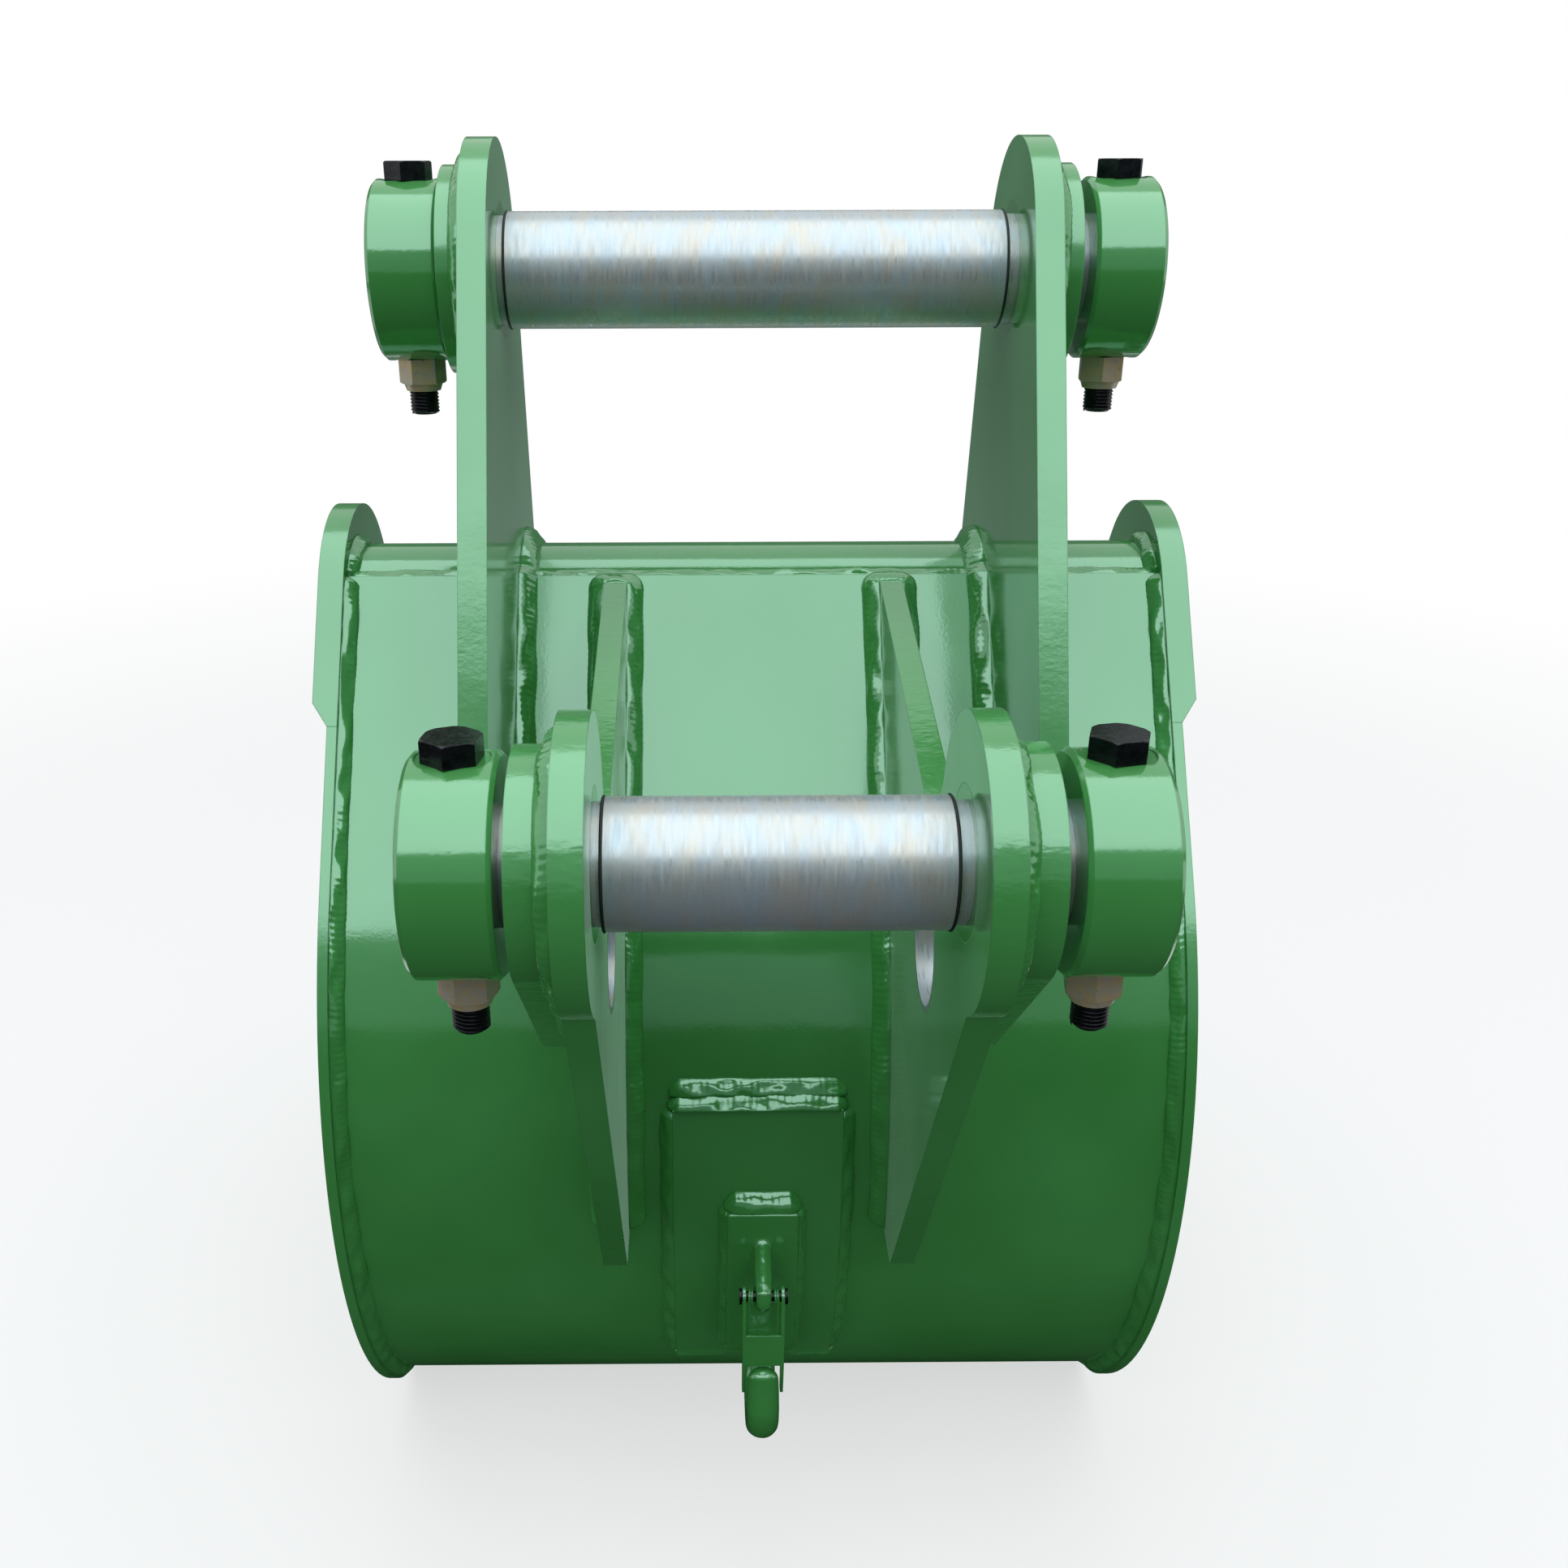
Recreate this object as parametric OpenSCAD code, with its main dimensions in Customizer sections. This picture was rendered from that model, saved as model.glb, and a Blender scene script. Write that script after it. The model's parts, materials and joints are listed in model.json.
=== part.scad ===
// Digging bucket for an excavator arm, with both pins fitted.
// X runs across the bucket along the pins, Y points to the mouth, Z is up.
// The origin is on the ground at mid width, under the cutting edge.

/* [Shell] */
// Overall width across the side bars
bucket_w = 685; // [560:1:900]
// Thickness of the side plates
plate_t = 8; // [6:0.5:14]
// Thickness of the side bars round the mouth
bar_t = 20; // [12:1:28]
// Thickness of the wrapper, the bent back and floor sheet
shell_t = 8; // [6:0.5:14]
// How far the side plates stand out past the wrapper
shell_inset = 11; // [6:0.5:18]
// Slope of the flat back wall above the ground
wall_angle = 54.8; // [48:0.2:62]
// Length of the flat back wall
wall_len = 253; // [200:1:300]
// Radius of the back of the heel
heel_r = 395; // [360:1:430]
// Radius of the heel where it meets the floor
floor_r = 200; // [140:1:260]
// Slope of the shell where the two heel radii meet
heel_turn = 43; // [34:0.5:52]
// Place of the end of the flat floor at the heel
floor_y = -560; // [-600:1:-520]
// How far the wrapper laps up over the tube
wrap_over = 7; // [4:1:12]
// Outer diameter of the torque tube
tube_d = 114.3; // [88.9:0.1:127]
// Wall of the torque tube
tube_wall = 10; // [6:0.5:16]

/* [Mouth] */
// Slope of the front edge of the side bars
mouth_angle = 54; // [50:0.5:60]
// Width of the side bars
bar_w = 115; // [80:1:150]
// Radius of the round upper end of the side bars
bar_head_r = 99; // [88:1:108]
// Length of the side bar along the back wall
bar_tail = 120; // [90:1:140]
// Depth of the side bar's tail
bar_tail_w = 60; // [40:1:80]
// Length of the bevel that ends the tail
tail_bevel = 19; // [10:1:30]
// Thickness of the cutting edge
edge_t = 25; // [16:1:32]
// Depth of the cutting edge from back to front
edge_len = 200; // [150:1:260]
// How far the cutting edge reaches past the side bars
edge_reach = 40; // [20:1:60]
// Length of the bevel of the cutting edge
edge_bevel = 36; // [20:1:48]
// Thickness of the cutting edge at its front
edge_tip = 8; // [5:1:12]

/* [Teeth] */
// Number of teeth
tooth_n = 4; // [3:1:5]
// Width of a tooth adapter
adapter_w = 62; // [50:1:76]
// Length of the adapter's strap on the edge
strap_len = 130; // [90:1:150]
// Thickness of the adapter's strap at its back end
strap_t = 14; // [8:1:20]
// Length of the adapter's nose
nose_len = 96; // [80:1:110]
// Width of the nose
nose_w = 44; // [36:1:50]
// Height of the nose where it leaves the adapter
nose_h = 48; // [40:1:54]
// Height of the nose at its end
nose_end_h = 15; // [10:1:20]
// Height of the underside of the nose at its root
nose_z = 13; // [11:1:15]
// Rise of the underside of the nose towards its end
nose_rise = 9; // [5:1:12]
// Clearance between a nose and its tooth
nose_gap = 0.4; // [0.3:0.1:0.8]
// Wall of the tooth round the nose
tooth_wall = 10; // [8:0.5:10.5]
// Length of a tooth
tooth_len = 190; // [160:1:230]
// Thickness of a tooth at its point
tooth_tip = 8; // [5:1:12]
// Width of a tooth at its point
tooth_tip_w = 58; // [40:1:60]
// Diameter of the lock pin of a tooth
lock_d = 12; // [8:0.5:16]

/* [Ears] */
// Place of the dipper pin
dipper_y = -603; // [-630:1:-580]
// Height of the dipper pin
dipper_z = 1004.5; // [960:0.5:1040]
// Distance of the link pin behind the dipper pin
link_back = 441; // [410:1:480]
// Height of the link pin
link_z = 729.5; // [700:0.5:760]
// Space between the dipper ears
dipper_gap = 369; // [300:1:420]
// Thickness of the dipper ears
dipper_ear_t = 20; // [14:0.5:24]
// Radius of the top of the dipper ears
dipper_ear_r = 89; // [80:1:110]
// Lean of the back edge of the dipper ears
ear_lean = 24.3; // [20:0.1:28]
// Length of the back edge of the dipper ears
ear_back = 392; // [340:1:420]
// Lean of the front edge of the dipper ears
ear_front_lean = 10.2; // [6:0.1:14]
// Space between the link ears
link_gap = 199; // [170:1:230]
// Thickness of the link ears
link_ear_t = 18; // [16:0.5:26]
// Radius of the end of the link ears
link_ear_r = 83; // [76:1:95]
// Slope of the lower edge of the link ears
link_slope = 57; // [54:0.5:60]
// Distance of that edge from the link pin
link_edge = 72; // [66:1:80]
// Length of the lower edge of the link ears
link_edge_len = 452; // [420:1:470]
// Height of the upper end of the link ears over the wall
link_top_h = 12; // [8:1:20]
// Radius of the hollow in the upper edge
hollow_r = 60; // [45:1:75]
// Direction of the hollow from the link pin
hollow_angle = 16; // [10:1:22]
// Bore of the second pin hole in the link ears
spare_d = 80; // [60:1:88]
// Wall of the bush in that hole
spare_wall = 4; // [3:0.5:6]
// Distance of the second hole from the link pin
spare_dist = 160; // [154:1:168]
// Direction of the second hole below the link pin
spare_angle = 43; // [40:0.5:46]

/* [Pins] */
// Diameter of the dipper pin
dipper_pin_d = 75; // [60:0.5:80]
// Diameter of the link pin
link_pin_d = 68; // [50:0.5:72]
// Wall of the spacer sleeves on the pins
sleeve_wall = 2.5; // [2:0.1:5]
// Bore clearance of the spacer sleeves
sleeve_gap = 0.2; // [0.1:0.05:0.5]
// Space between a spacer sleeve and the ears, both ends together
sleeve_play = 15; // [12:1:24]
// Where the sleeves lie in their play, to the left
sleeve_shift = 1.5; // [0:0.5:2.5]
// Wall of the bushes in the ears
bush_wall = 9; // [6:0.5:12]
// Radial running clearance of a pin in its bush
pin_fit = 0.05; // [0.02:0.01:0.09]
// Width of a rubber ring beside a sleeve
seal_w = 1.6; // [1.2:0.1:4]
// Outer diameter of the bosses on the dipper ears
dipper_boss_d = 142; // [130:1:160]
// Thickness of the bosses on the dipper ears
dipper_boss_t = 18; // [14:1:28]
// Outer diameter of the round end of the link ear doublers
link_boss_d = 130; // [118:1:140]
// Thickness of the link ear doublers
link_boss_t = 24; // [16:1:28]
// Length of a doubler from the link pin to its tip
doubler_len = 176; // [150:1:190]
// Slope of the doubler
doubler_angle = 61; // [56:1:66]
// Width of the doubler's tip
doubler_tip = 22; // [14:1:30]
// Outer diameter of the collars on the dipper pin
dipper_collar_d = 124; // [118:1:140]
// Outer diameter of the collars on the link pin
link_collar_d = 124; // [116:1:132]
// Length of a collar
collar_len = 49; // [40:1:56]
// Side play of the dipper pin, both ends together
dipper_play = 12.5; // [4:0.5:16]
// Where the dipper pin lies in its play, to the right
dipper_shift = 5.2; // [0:0.1:5.5]
// Side play of the link pin, both ends together
link_play = 16; // [6:1:20]
// Where the link pin lies in its play, to the right
link_shift = 2; // [0:0.5:4]
// How far a pin's end lies inside its collar
pin_recess = 3; // [1:0.5:6]
// Thread diameter of the collar bolts
bolt_d = 20; // [16:1:24]
// Hexagon width across flats of bolts and nuts
hex_af = 30; // [24:1:36]
// Height of a bolt head
head_h = 13; // [10:0.5:15]
// Height of a lock nut
nut_h = 23; // [16:1:26]
// Length of thread that shows past a nut
thread_end = 17; // [6:1:22]
// Height of the flat seats of heads and nuts above the pin's middle
seat_z = 60.5; // [57:0.5:61]
// Clearance round a bolt in its hole
bolt_gap = 0.5; // [0.2:0.1:1]

/* [Heel and hook] */
// Width of the pad plate on the heel
pad_w = 130; // [100:1:160]
// Thickness of the pad plate
pad_t = 10; // [6:1:16]
// Direction of the pad's upper end from the heel's centre
pad_top = 11.3; // [10:0.5:20]
// Direction of the pad's lower end below the heel's centre
pad_low = 30; // [24:0.5:36]
// Thickness of the lifting hook
hook_t = 26; // [20:1:32]
// Inner radius of the hook
hook_r = 27; // [22:1:32]
// Thickness of the hook's bow
bow_t = 23; // [18:1:28]
// Height of the centre of the hook's bow
hook_z = 184; // [176:1:200]
// Distance of the centre of the bow from the pad
hook_out = 46; // [42:1:52]
// Height of the hook's foot over the centre of the bow
foot_up = 154; // [144:1:160]
// Width of the hook's foot on the pad
foot_w = 56; // [44:2:68]
// Thickness of the foot
foot_t = 12; // [8:1:16]
// Height of the latch pin over the centre of the bow
pivot_up = 96; // [90:1:102]
// Height of the hook's tip over the centre of the bow
tip_up = 35; // [28:1:40]
// Thickness of the hook's eye and shank
eye_w = 14; // [10:1:15]
// How far the hook stands to the right of the middle
hook_x = 4; // [0:1:8]
// Thickness of the latch sheet
latch_t = 2.5; // [2:0.5:3]
// Height of the open window under the latch pin
latch_window = 29; // [24:1:34]
// Side gap between the hook and the latch sheet
latch_gap = 0.6; // [0.4:0.1:1]
// Diameter of the latch pin
latch_pin_d = 8; // [6:0.5:10]
// Running clearance of the latch on its pin
latch_fit = 0.08; // [0.04:0.01:0.1]
// Wire of the latch spring
wire_d = 2; // [1.5:0.1:2.5]

/* [Hidden] */
$fn = 96;
green = "#3fa45c";
bare = "#b9c0c8";
zinc = "#b8a888";
dark = "#26282c";

// Places in the side view, as [y, z]
wall_dir = [cos(wall_angle), sin(wall_angle)];
wall_in = [sin(wall_angle), -cos(wall_angle)];
heel_lo = [floor_y, floor_r];
heel_up = heel_lo + (heel_r - floor_r) * [sin(heel_turn), cos(heel_turn)];
wall_foot = heel_up - heel_r * wall_in;
wall_head = wall_foot + wall_len * wall_dir;
tube_r = tube_d / 2;
tube_c = wall_head + (shell_inset + shell_t + tube_r) * wall_in;
bar_c = wall_head + bar_head_r * wall_in;
dipper_c = [dipper_y, dipper_z];
link_c = [dipper_y - link_back, link_z];

// Widths and the mouth
inner_x = bucket_w / 2 - bar_t;
mouth_dir = [cos(mouth_angle), -sin(mouth_angle)];
mouth_out = [sin(mouth_angle), cos(mouth_angle)];
mouth_top = bar_c + bar_head_r * mouth_out;
mouth_len = (mouth_top[1] - edge_t) / sin(mouth_angle);
mouth_low = mouth_top + mouth_len * mouth_dir;
bar_low = mouth_low - [bar_w / sin(mouth_angle), 0];
edge_front = mouth_low[0] + edge_reach;
edge_back = edge_front - edge_len;

// Pins and collars
dipper_x = dipper_gap / 2 + dipper_ear_t + dipper_boss_t;
link_x = link_gap / 2 + link_ear_t + link_boss_t;
shell_r = heel_r - shell_inset;
pad_r = shell_r + pad_t;
spare_c = link_c + spare_dist * [cos(spare_angle), -sin(spare_angle)];
spare_r = spare_d / 2;
hex_r = hex_af / sqrt(3);

// Heel and hook
foot_high = 180 + asin((heel_up[1] - hook_z + 8) / pad_r);
foot_low = 180 + asin((heel_up[1] - hook_z - foot_up) / pad_r);
hook_c = [heel_up[0] - sqrt(pow(pad_r, 2) - pow(hook_z - heel_up[1], 2)) - hook_out, hook_z];
bow_r = hook_r + bow_t;
pivot_c = hook_c + [-bow_t, pivot_up];
latch_len = pivot_up - 7;
web_low = pivot_up - tip_up - 3;

// Point on a circle around c, at an angle from +Y towards +Z
function on_circle(c, r, a) = c + r * [cos(a), sin(a)];

// Point where a line from p touches a circle from below
function touch_below(p, c, r) = on_circle(c, r, atan2(p[1] - c[1], p[0] - c[0]) - acos(r / norm(p - c)));

// Extrudes a side view outline across the bucket, from x to x + w
module across(x, w) {
    translate([x, 0, 0]) rotate([90, 0, 90]) linear_extrude(w) children();
}

// Repeats its children on the left and on the right
module both() {
    children();
    mirror([1, 0, 0]) children();
}

// Draws the side view piece of the right, or mirrors it to the left
module side(right) {
    mirror([right ? 0 : 1, 0, 0]) children();
}

// A disc in the side view
module disc(c, r) {
    translate(c) circle(r);
}

// A cylinder along X around a point of the side view
module rod(c, r, x, w) {
    translate([x, c[0], c[1]]) rotate([0, 90, 0]) cylinder(h = w, r = r);
}

// A tube along X around a point of the side view
module pipe(c, ro, ri, x, w) {
    difference() {
        rod(c, ro, x, w);
        rod(c, ri, x - 1, w + 2);
    }
}

// A slice of a disc between two angles under 180 degrees apart
module slice(c, r, a, b) {
    intersection() {
        disc(c, r);
        polygon([c, on_circle(c, 2 * r, a), on_circle(c, 2 * r, (a + b) / 2), on_circle(c, 2 * r, b)]);
    }
}

// The two round stretches of the heel, moved in by inset; each runs on a little into what it meets
module heel_area(inset) {
    more = 15;
    slice(heel_up, heel_r - inset, 90 + wall_angle - more, 270 - heel_turn);
    slice(heel_lo, floor_r - inset, 270 - heel_turn - more, 270 + more);
}

// All that lies inside the back, heel and floor line, moved in by inset
module shell_area(inset, over, low_y) {
    head = wall_head + (wrap_over + over) * wall_dir + inset * wall_in;
    polygon([head, wall_foot + inset * wall_in, heel_up, heel_lo, [heel_lo[0], inset],
        [low_y + over, inset], [low_y + over, heel_up[1]], head + (tube_d + shell_t) * wall_in]);
    heel_area(inset);
}

// The bent sheet of back wall, heel and floor
module wrapper() {
    color(green) across(-inner_x, 2 * inner_x) difference() {
        shell_area(shell_inset, 0, edge_back);
        shell_area(shell_inset + shell_t, 1, edge_back);
        disc(tube_c, tube_r);
    }
}

module torque_tube() {
    color(green) pipe(tube_c, tube_r, tube_r - tube_wall, -inner_x, 2 * inner_x);
}

// Side view of a side bar: round head, tail on the back wall and mouth strip
module bar_area() {
    tail = wall_head - bar_tail * wall_dir;
    disc(bar_c, bar_head_r);
    polygon([bar_c, wall_head, tail, tail + bar_tail_w * wall_in,
        bar_low - (mouth_len - 1.1 * bar_head_r) * mouth_dir, bar_low, mouth_low, mouth_top]);
}

module side_bar(right) {
    cut = bar_t - plate_t;
    tail = wall_head - bar_tail * wall_dir;
    color(green) side(right) difference() {
        across(inner_x, bar_t) bar_area();
        translate([inner_x + plate_t, tail[0], tail[1]]) rotate([wall_angle, 0, 0])
            rotate([0, 0, -atan(cut / tail_bevel)]) translate([0, 0, -1.6 * bar_tail_w])
                cube([2 * cut, 2 * tail_bevel, 2 * bar_tail_w]);
    }
}

// The thin side plate, butted to the side bar
module side_plate(right) {
    tail = wall_head - bar_tail * wall_dir;
    color(green) side(right) across(inner_x, plate_t) difference() {
        union() {
            polygon([wall_head, wall_foot, heel_up, heel_lo, [floor_y, 0], [edge_back, 0],
                [edge_back, edge_t], mouth_low, mouth_top, bar_c]);
            heel_area(0);
        }
        bar_area();
        polygon([bar_c, wall_head, wall_head - 3 * wall_in, tail - 3 * wall_in, tail]);
    }
}

module cutting_edge() {
    color(green) across(-bucket_w / 2, bucket_w) polygon([[edge_back, 0], [edge_front, 0],
        [edge_front, edge_tip], [edge_front - edge_bevel, edge_t], [edge_back, edge_t]]);
}

// Middle of tooth number i
function tooth_x(i) = (i - (tooth_n - 1) / 2) * (2 * inner_x - adapter_w - 6) / (tooth_n - 1);

// Places along the nose, which starts a little in front of the cutting edge
nose_y = edge_front + 24;
nose_end = nose_y + nose_len - 24;

// Side view of the nose, grown by a clearance
module nose_area(gap) {
    polygon([[nose_y - 24, nose_z - gap], [nose_y, nose_z - gap],
        [nose_end + gap, nose_z + nose_rise - gap],
        [nose_end + gap, nose_z + nose_rise + nose_end_h + gap],
        [nose_y, nose_z + nose_h + gap], [nose_y - 24, nose_z + nose_h + gap]]);
}

lock_c = [nose_y + 26, nose_z + nose_h / 2];

module tooth_adapter(i) {
    color(green) difference() {
        union() {
            across(tooth_x(i) - adapter_w / 2, adapter_w) polygon([[edge_front - strap_len, edge_t],
                [edge_front - edge_bevel, edge_t], [edge_front, edge_tip], [edge_front, 1],
                [nose_y - 2, 1], [nose_y - 2, nose_z + nose_h + tooth_wall],
                [edge_front - 40, edge_t + 3 * strap_t], [edge_front - strap_len, edge_t + strap_t]]);
            across(tooth_x(i) - nose_w / 2, nose_w) nose_area(0);
        }
        rod(lock_c, lock_d / 2 + 0.2, tooth_x(i) - adapter_w, 2 * adapter_w);
    }
}

// The tooth: a wedge with a socket that slides over the nose
module tooth_point(i) {
    w = nose_w + 2 * tooth_wall;
    x = tooth_x(i);
    tip_y = nose_y + tooth_len;
    color(green) difference() {
        intersection() {
            across(x - w / 2, w) polygon([[nose_y, nose_z - tooth_wall],
                [tip_y, nose_z - tooth_wall], [tip_y, nose_z - tooth_wall + tooth_tip],
                [nose_end + 20, nose_z + nose_rise + nose_end_h + tooth_wall],
                [nose_y, nose_z + nose_h + tooth_wall]]);
            linear_extrude(4 * nose_h) polygon([[x - w / 2, nose_y], [x + w / 2, nose_y],
                [x + w / 2, nose_end], [x + tooth_tip_w / 2, tip_y], [x - tooth_tip_w / 2, tip_y],
                [x - w / 2, nose_end]]);
        }
        across(x - nose_w / 2 - nose_gap, nose_w + 2 * nose_gap) nose_area(nose_gap);
        rod(lock_c, lock_d / 2 + 0.2, x - w, 2 * w);
    }
}

// One lock pin through each tooth and nose
module tooth_pins() {
    len = nose_w + 2 * tooth_wall + 2;
    color(dark) for (i = [0 : tooth_n - 1]) rod(lock_c, lock_d / 2, tooth_x(i) - len / 2, len);
}

// Side view of a dipper ear, saddled over the tube
module dipper_ear_area() {
    back_n = [-cos(ear_lean), sin(ear_lean)];
    front_n = [cos(ear_front_lean), sin(ear_front_lean)];
    back_top = dipper_c + dipper_ear_r * back_n;
    back_low = back_top - ear_back * [sin(ear_lean), cos(ear_lean)];
    front_top = dipper_c + dipper_ear_r * front_n;
    front_run = (front_top[1] - tube_c[1] + 0.6 * tube_r) / cos(ear_front_lean);
    front_low = front_top + front_run * [sin(ear_front_lean), -cos(ear_front_lean)];
    foot = wall_foot - 0.1 * wall_len * wall_dir + 2 * shell_inset * wall_in;
    difference() {
        union() {
            disc(dipper_c, dipper_ear_r);
            polygon([dipper_c, back_top, back_low, foot, tube_c, front_low, front_top]);
        }
        shell_area(shell_inset, 0, edge_back);
        disc(tube_c, tube_r);
        disc(dipper_c, dipper_pin_d / 2 + bush_wall);
    }
}

module dipper_ear(right) {
    color(green) side(right) across(dipper_gap / 2, dipper_ear_t) dipper_ear_area();
}

// Side view of a link ear, from its rib at the tube to its tip on the heel
module link_ear_area() {
    edge_dir = [cos(link_slope), -sin(link_slope)];
    edge_n = [-sin(link_slope), -cos(link_slope)];
    edge_start = link_c + link_edge * edge_n;
    tip = edge_start + link_edge_len * edge_dir;
    head = wall_head - 4 * wall_dir + (shell_inset - link_top_h) * wall_in;
    hollow_c = on_circle(link_c, link_ear_r + hollow_r, hollow_angle);
    difference() {
        union() {
            disc(link_c, link_ear_r);
            polygon([link_c, edge_start, tip, [heel_up[0], tip[1]], wall_head + 40 * wall_in - 4 * wall_dir,
                head, touch_below(head, hollow_c, hollow_r), hollow_c]);
        }
        disc(hollow_c, hollow_r);
        shell_area(shell_inset, 0, edge_back);
        disc(link_c, link_pin_d / 2 + bush_wall);
        disc(spare_c, spare_r + spare_wall);
    }
}

module link_ear(right) {
    color(green) side(right) across(link_gap / 2, link_ear_t) link_ear_area();
}

// The teardrop plate on the outside of a link ear
module doubler_area() {
    run = [cos(doubler_angle), -sin(doubler_angle)];
    wide = [sin(doubler_angle), cos(doubler_angle)];
    lean = asin((link_boss_d / 2 - doubler_tip / 2) / doubler_len);
    edge_a = link_boss_d / 2 * (wide * cos(lean) + run * sin(lean));
    edge_b = link_boss_d / 2 * (-wide * cos(lean) + run * sin(lean));
    tip = doubler_len * run;
    difference() {
        union() {
            disc(link_c, link_boss_d / 2);
            translate(link_c) polygon([edge_a, tip + doubler_tip / 2 * wide, tip - doubler_tip / 2 * wide, edge_b]);
        }
        disc(link_c, link_pin_d / 2 + bush_wall);
        disc(spare_c, spare_r + spare_wall + 2);
    }
}

module link_doubler(right) {
    color(green) side(right) across(link_gap / 2 + link_ear_t, link_boss_t) doubler_area();
}

module dipper_boss(right) {
    color(green) side(right) pipe(dipper_c, dipper_boss_d / 2, dipper_pin_d / 2 + bush_wall,
        dipper_gap / 2 + dipper_ear_t, dipper_boss_t);
}

// Bushes, each as long as its ear and boss together
module dipper_bush(right) {
    color(bare) side(right) pipe(dipper_c, dipper_pin_d / 2 + bush_wall, dipper_pin_d / 2 + pin_fit,
        dipper_gap / 2, dipper_ear_t + dipper_boss_t);
}

module link_bush(right) {
    color(bare) side(right) pipe(link_c, link_pin_d / 2 + bush_wall, link_pin_d / 2 + pin_fit,
        link_gap / 2, link_ear_t + link_boss_t);
}

module spare_bush(right) {
    color(bare) side(right) pipe(spare_c, spare_r + spare_wall, spare_r, link_gap / 2, link_ear_t);
}

// Middle of the collar on one side, at x, with the pin's shift
function collar_x(x, play, shift, right) = (right ? 1 : -1) * (x + play / 2 + collar_len / 2) + shift;

// A round pin with chamfered ends and a hole for each collar bolt
module pin(c, d, x, play, shift) {
    half = x + play / 2 + collar_len - pin_recess;
    chamfer = 3;
    color(bare) difference() {
        translate([shift, c[0], c[1]]) rotate([0, 90, 0]) rotate_extrude() polygon([[0, -half],
            [d / 2 - chamfer, -half], [d / 2, chamfer - half], [d / 2, half - chamfer],
            [d / 2 - chamfer, half], [0, half]]);
        for (right = [false, true]) translate([collar_x(x, play, shift, right), c[0], c[1]])
            cylinder(h = 2 * d, r = bolt_d / 2 + bolt_gap, center = true);
    }
}

module dipper_pin() {
    pin(dipper_c, dipper_pin_d, dipper_x, dipper_play, dipper_shift);
}

module link_pin() {
    pin(link_c, link_pin_d, link_x, link_play, link_shift);
}

// The loose spacer sleeve that keeps the ears apart
module sleeve(c, d, gap) {
    ri = d / 2 + sleeve_gap;
    len = gap - sleeve_play;
    color(bare) pipe(c, ri + sleeve_wall, ri, -len / 2 - sleeve_shift, len);
}

module dipper_sleeve() {
    sleeve(dipper_c, dipper_pin_d, dipper_gap);
}

module link_sleeve() {
    sleeve(link_c, link_pin_d, link_gap);
}

// A rubber ring on the pin at each end of the sleeve, a little higher than the sleeve
module seals(c, d, gap) {
    ring_r = d / 2 + sleeve_gap + sleeve_wall + 0.8;
    edge = 0.7;
    translate([-sleeve_shift, 0, 0]) both() color(dark)
        translate([(gap - sleeve_play) / 2 + 0.2, c[0], c[1]]) rotate([0, 90, 0])
            rotate_extrude() polygon([[d / 2, 0], [ring_r - edge, 0], [ring_r, edge],
                [ring_r, seal_w - edge], [ring_r - edge, seal_w], [d / 2, seal_w]]);
}

module dipper_seals() {
    seals(dipper_c, dipper_pin_d, dipper_gap);
}

module link_seals() {
    seals(link_c, link_pin_d, link_gap);
}

// A collar: a thick ring, bolted through the pin
module collar(c, od, id, x, play, shift, right) {
    edge = 2.5;
    mid = collar_x(x, play, shift, right);
    color(green) difference() {
        translate([mid, c[0], c[1]]) rotate([0, 90, 0]) rotate_extrude() polygon([
            [id / 2 + pin_fit, -collar_len / 2], [od / 2 - edge, -collar_len / 2],
            [od / 2, edge - collar_len / 2], [od / 2, collar_len / 2 - edge],
            [od / 2 - edge, collar_len / 2], [id / 2 + pin_fit, collar_len / 2]]);
        translate([mid, c[0], c[1]]) cylinder(h = 2 * od, r = bolt_d / 2 + bolt_gap, center = true);
        for (flip = [0, 180]) translate([mid, c[0], c[1]]) rotate([0, flip, 0])
            translate([0, 0, seat_z]) cylinder(h = od, r = hex_r + 3);
    }
}

module dipper_collar(right) {
    collar(dipper_c, dipper_collar_d, dipper_pin_d, dipper_x, dipper_play, dipper_shift, right);
}

module link_collar(right) {
    collar(link_c, link_collar_d, link_pin_d, link_x, link_play, link_shift, right);
}

// Hexagon with its corners taken off by a cone at one or both ends
module hex_block(h, low, high) {
    r = hex_r;
    bev = 1.6;
    intersection() {
        cylinder(h = h, r = r, $fn = 6);
        rotate_extrude() polygon([[0, 0], [low ? r - bev : r + 1, 0], [low ? r : r + 1, bev * 0.6],
            [high ? r : r + 1, h - bev * 0.6], [high ? r - bev : r + 1, h], [0, h]]);
    }
}

// Turn of the bolt on each side about its own axis
function bolt_turn(right) = right ? 12 : 22;

// Two bolts, put down through the collars from above
module collar_bolts(c, x, play, shift) {
    end = -seat_z - nut_h - thread_end;
    color(dark) for (right = [false, true]) translate([collar_x(x, play, shift, right), c[0], c[1]])
        rotate([0, 0, bolt_turn(right)]) {
            translate([0, 0, seat_z]) hex_block(head_h, false, true);
            translate([0, 0, end + 2]) cylinder(h = seat_z - end - 2, r = bolt_d / 2);
            translate([0, 0, end]) cylinder(h = 2, r1 = bolt_d / 2 - 1.6, r2 = bolt_d / 2);
        }
}

// Lock nuts: a hexagon with the round collar of its insert below
module lock_nuts(c, x, play, shift) {
    hex_h = 0.78 * nut_h;
    color(zinc) for (right = [false, true]) translate([collar_x(x, play, shift, right), c[0], c[1]])
        rotate([180, 0, bolt_turn(!right)]) translate([0, 0, seat_z]) difference() {
            union() {
                hex_block(hex_h, false, true);
                translate([0, 0, hex_h]) cylinder(h = nut_h - hex_h, r1 = hex_af / 2 - 0.6, r2 = hex_af / 2 - 2.4);
            }
            translate([0, 0, -1]) cylinder(h = nut_h + 2, r = bolt_d / 2 + 0.02);
        }
}

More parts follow.
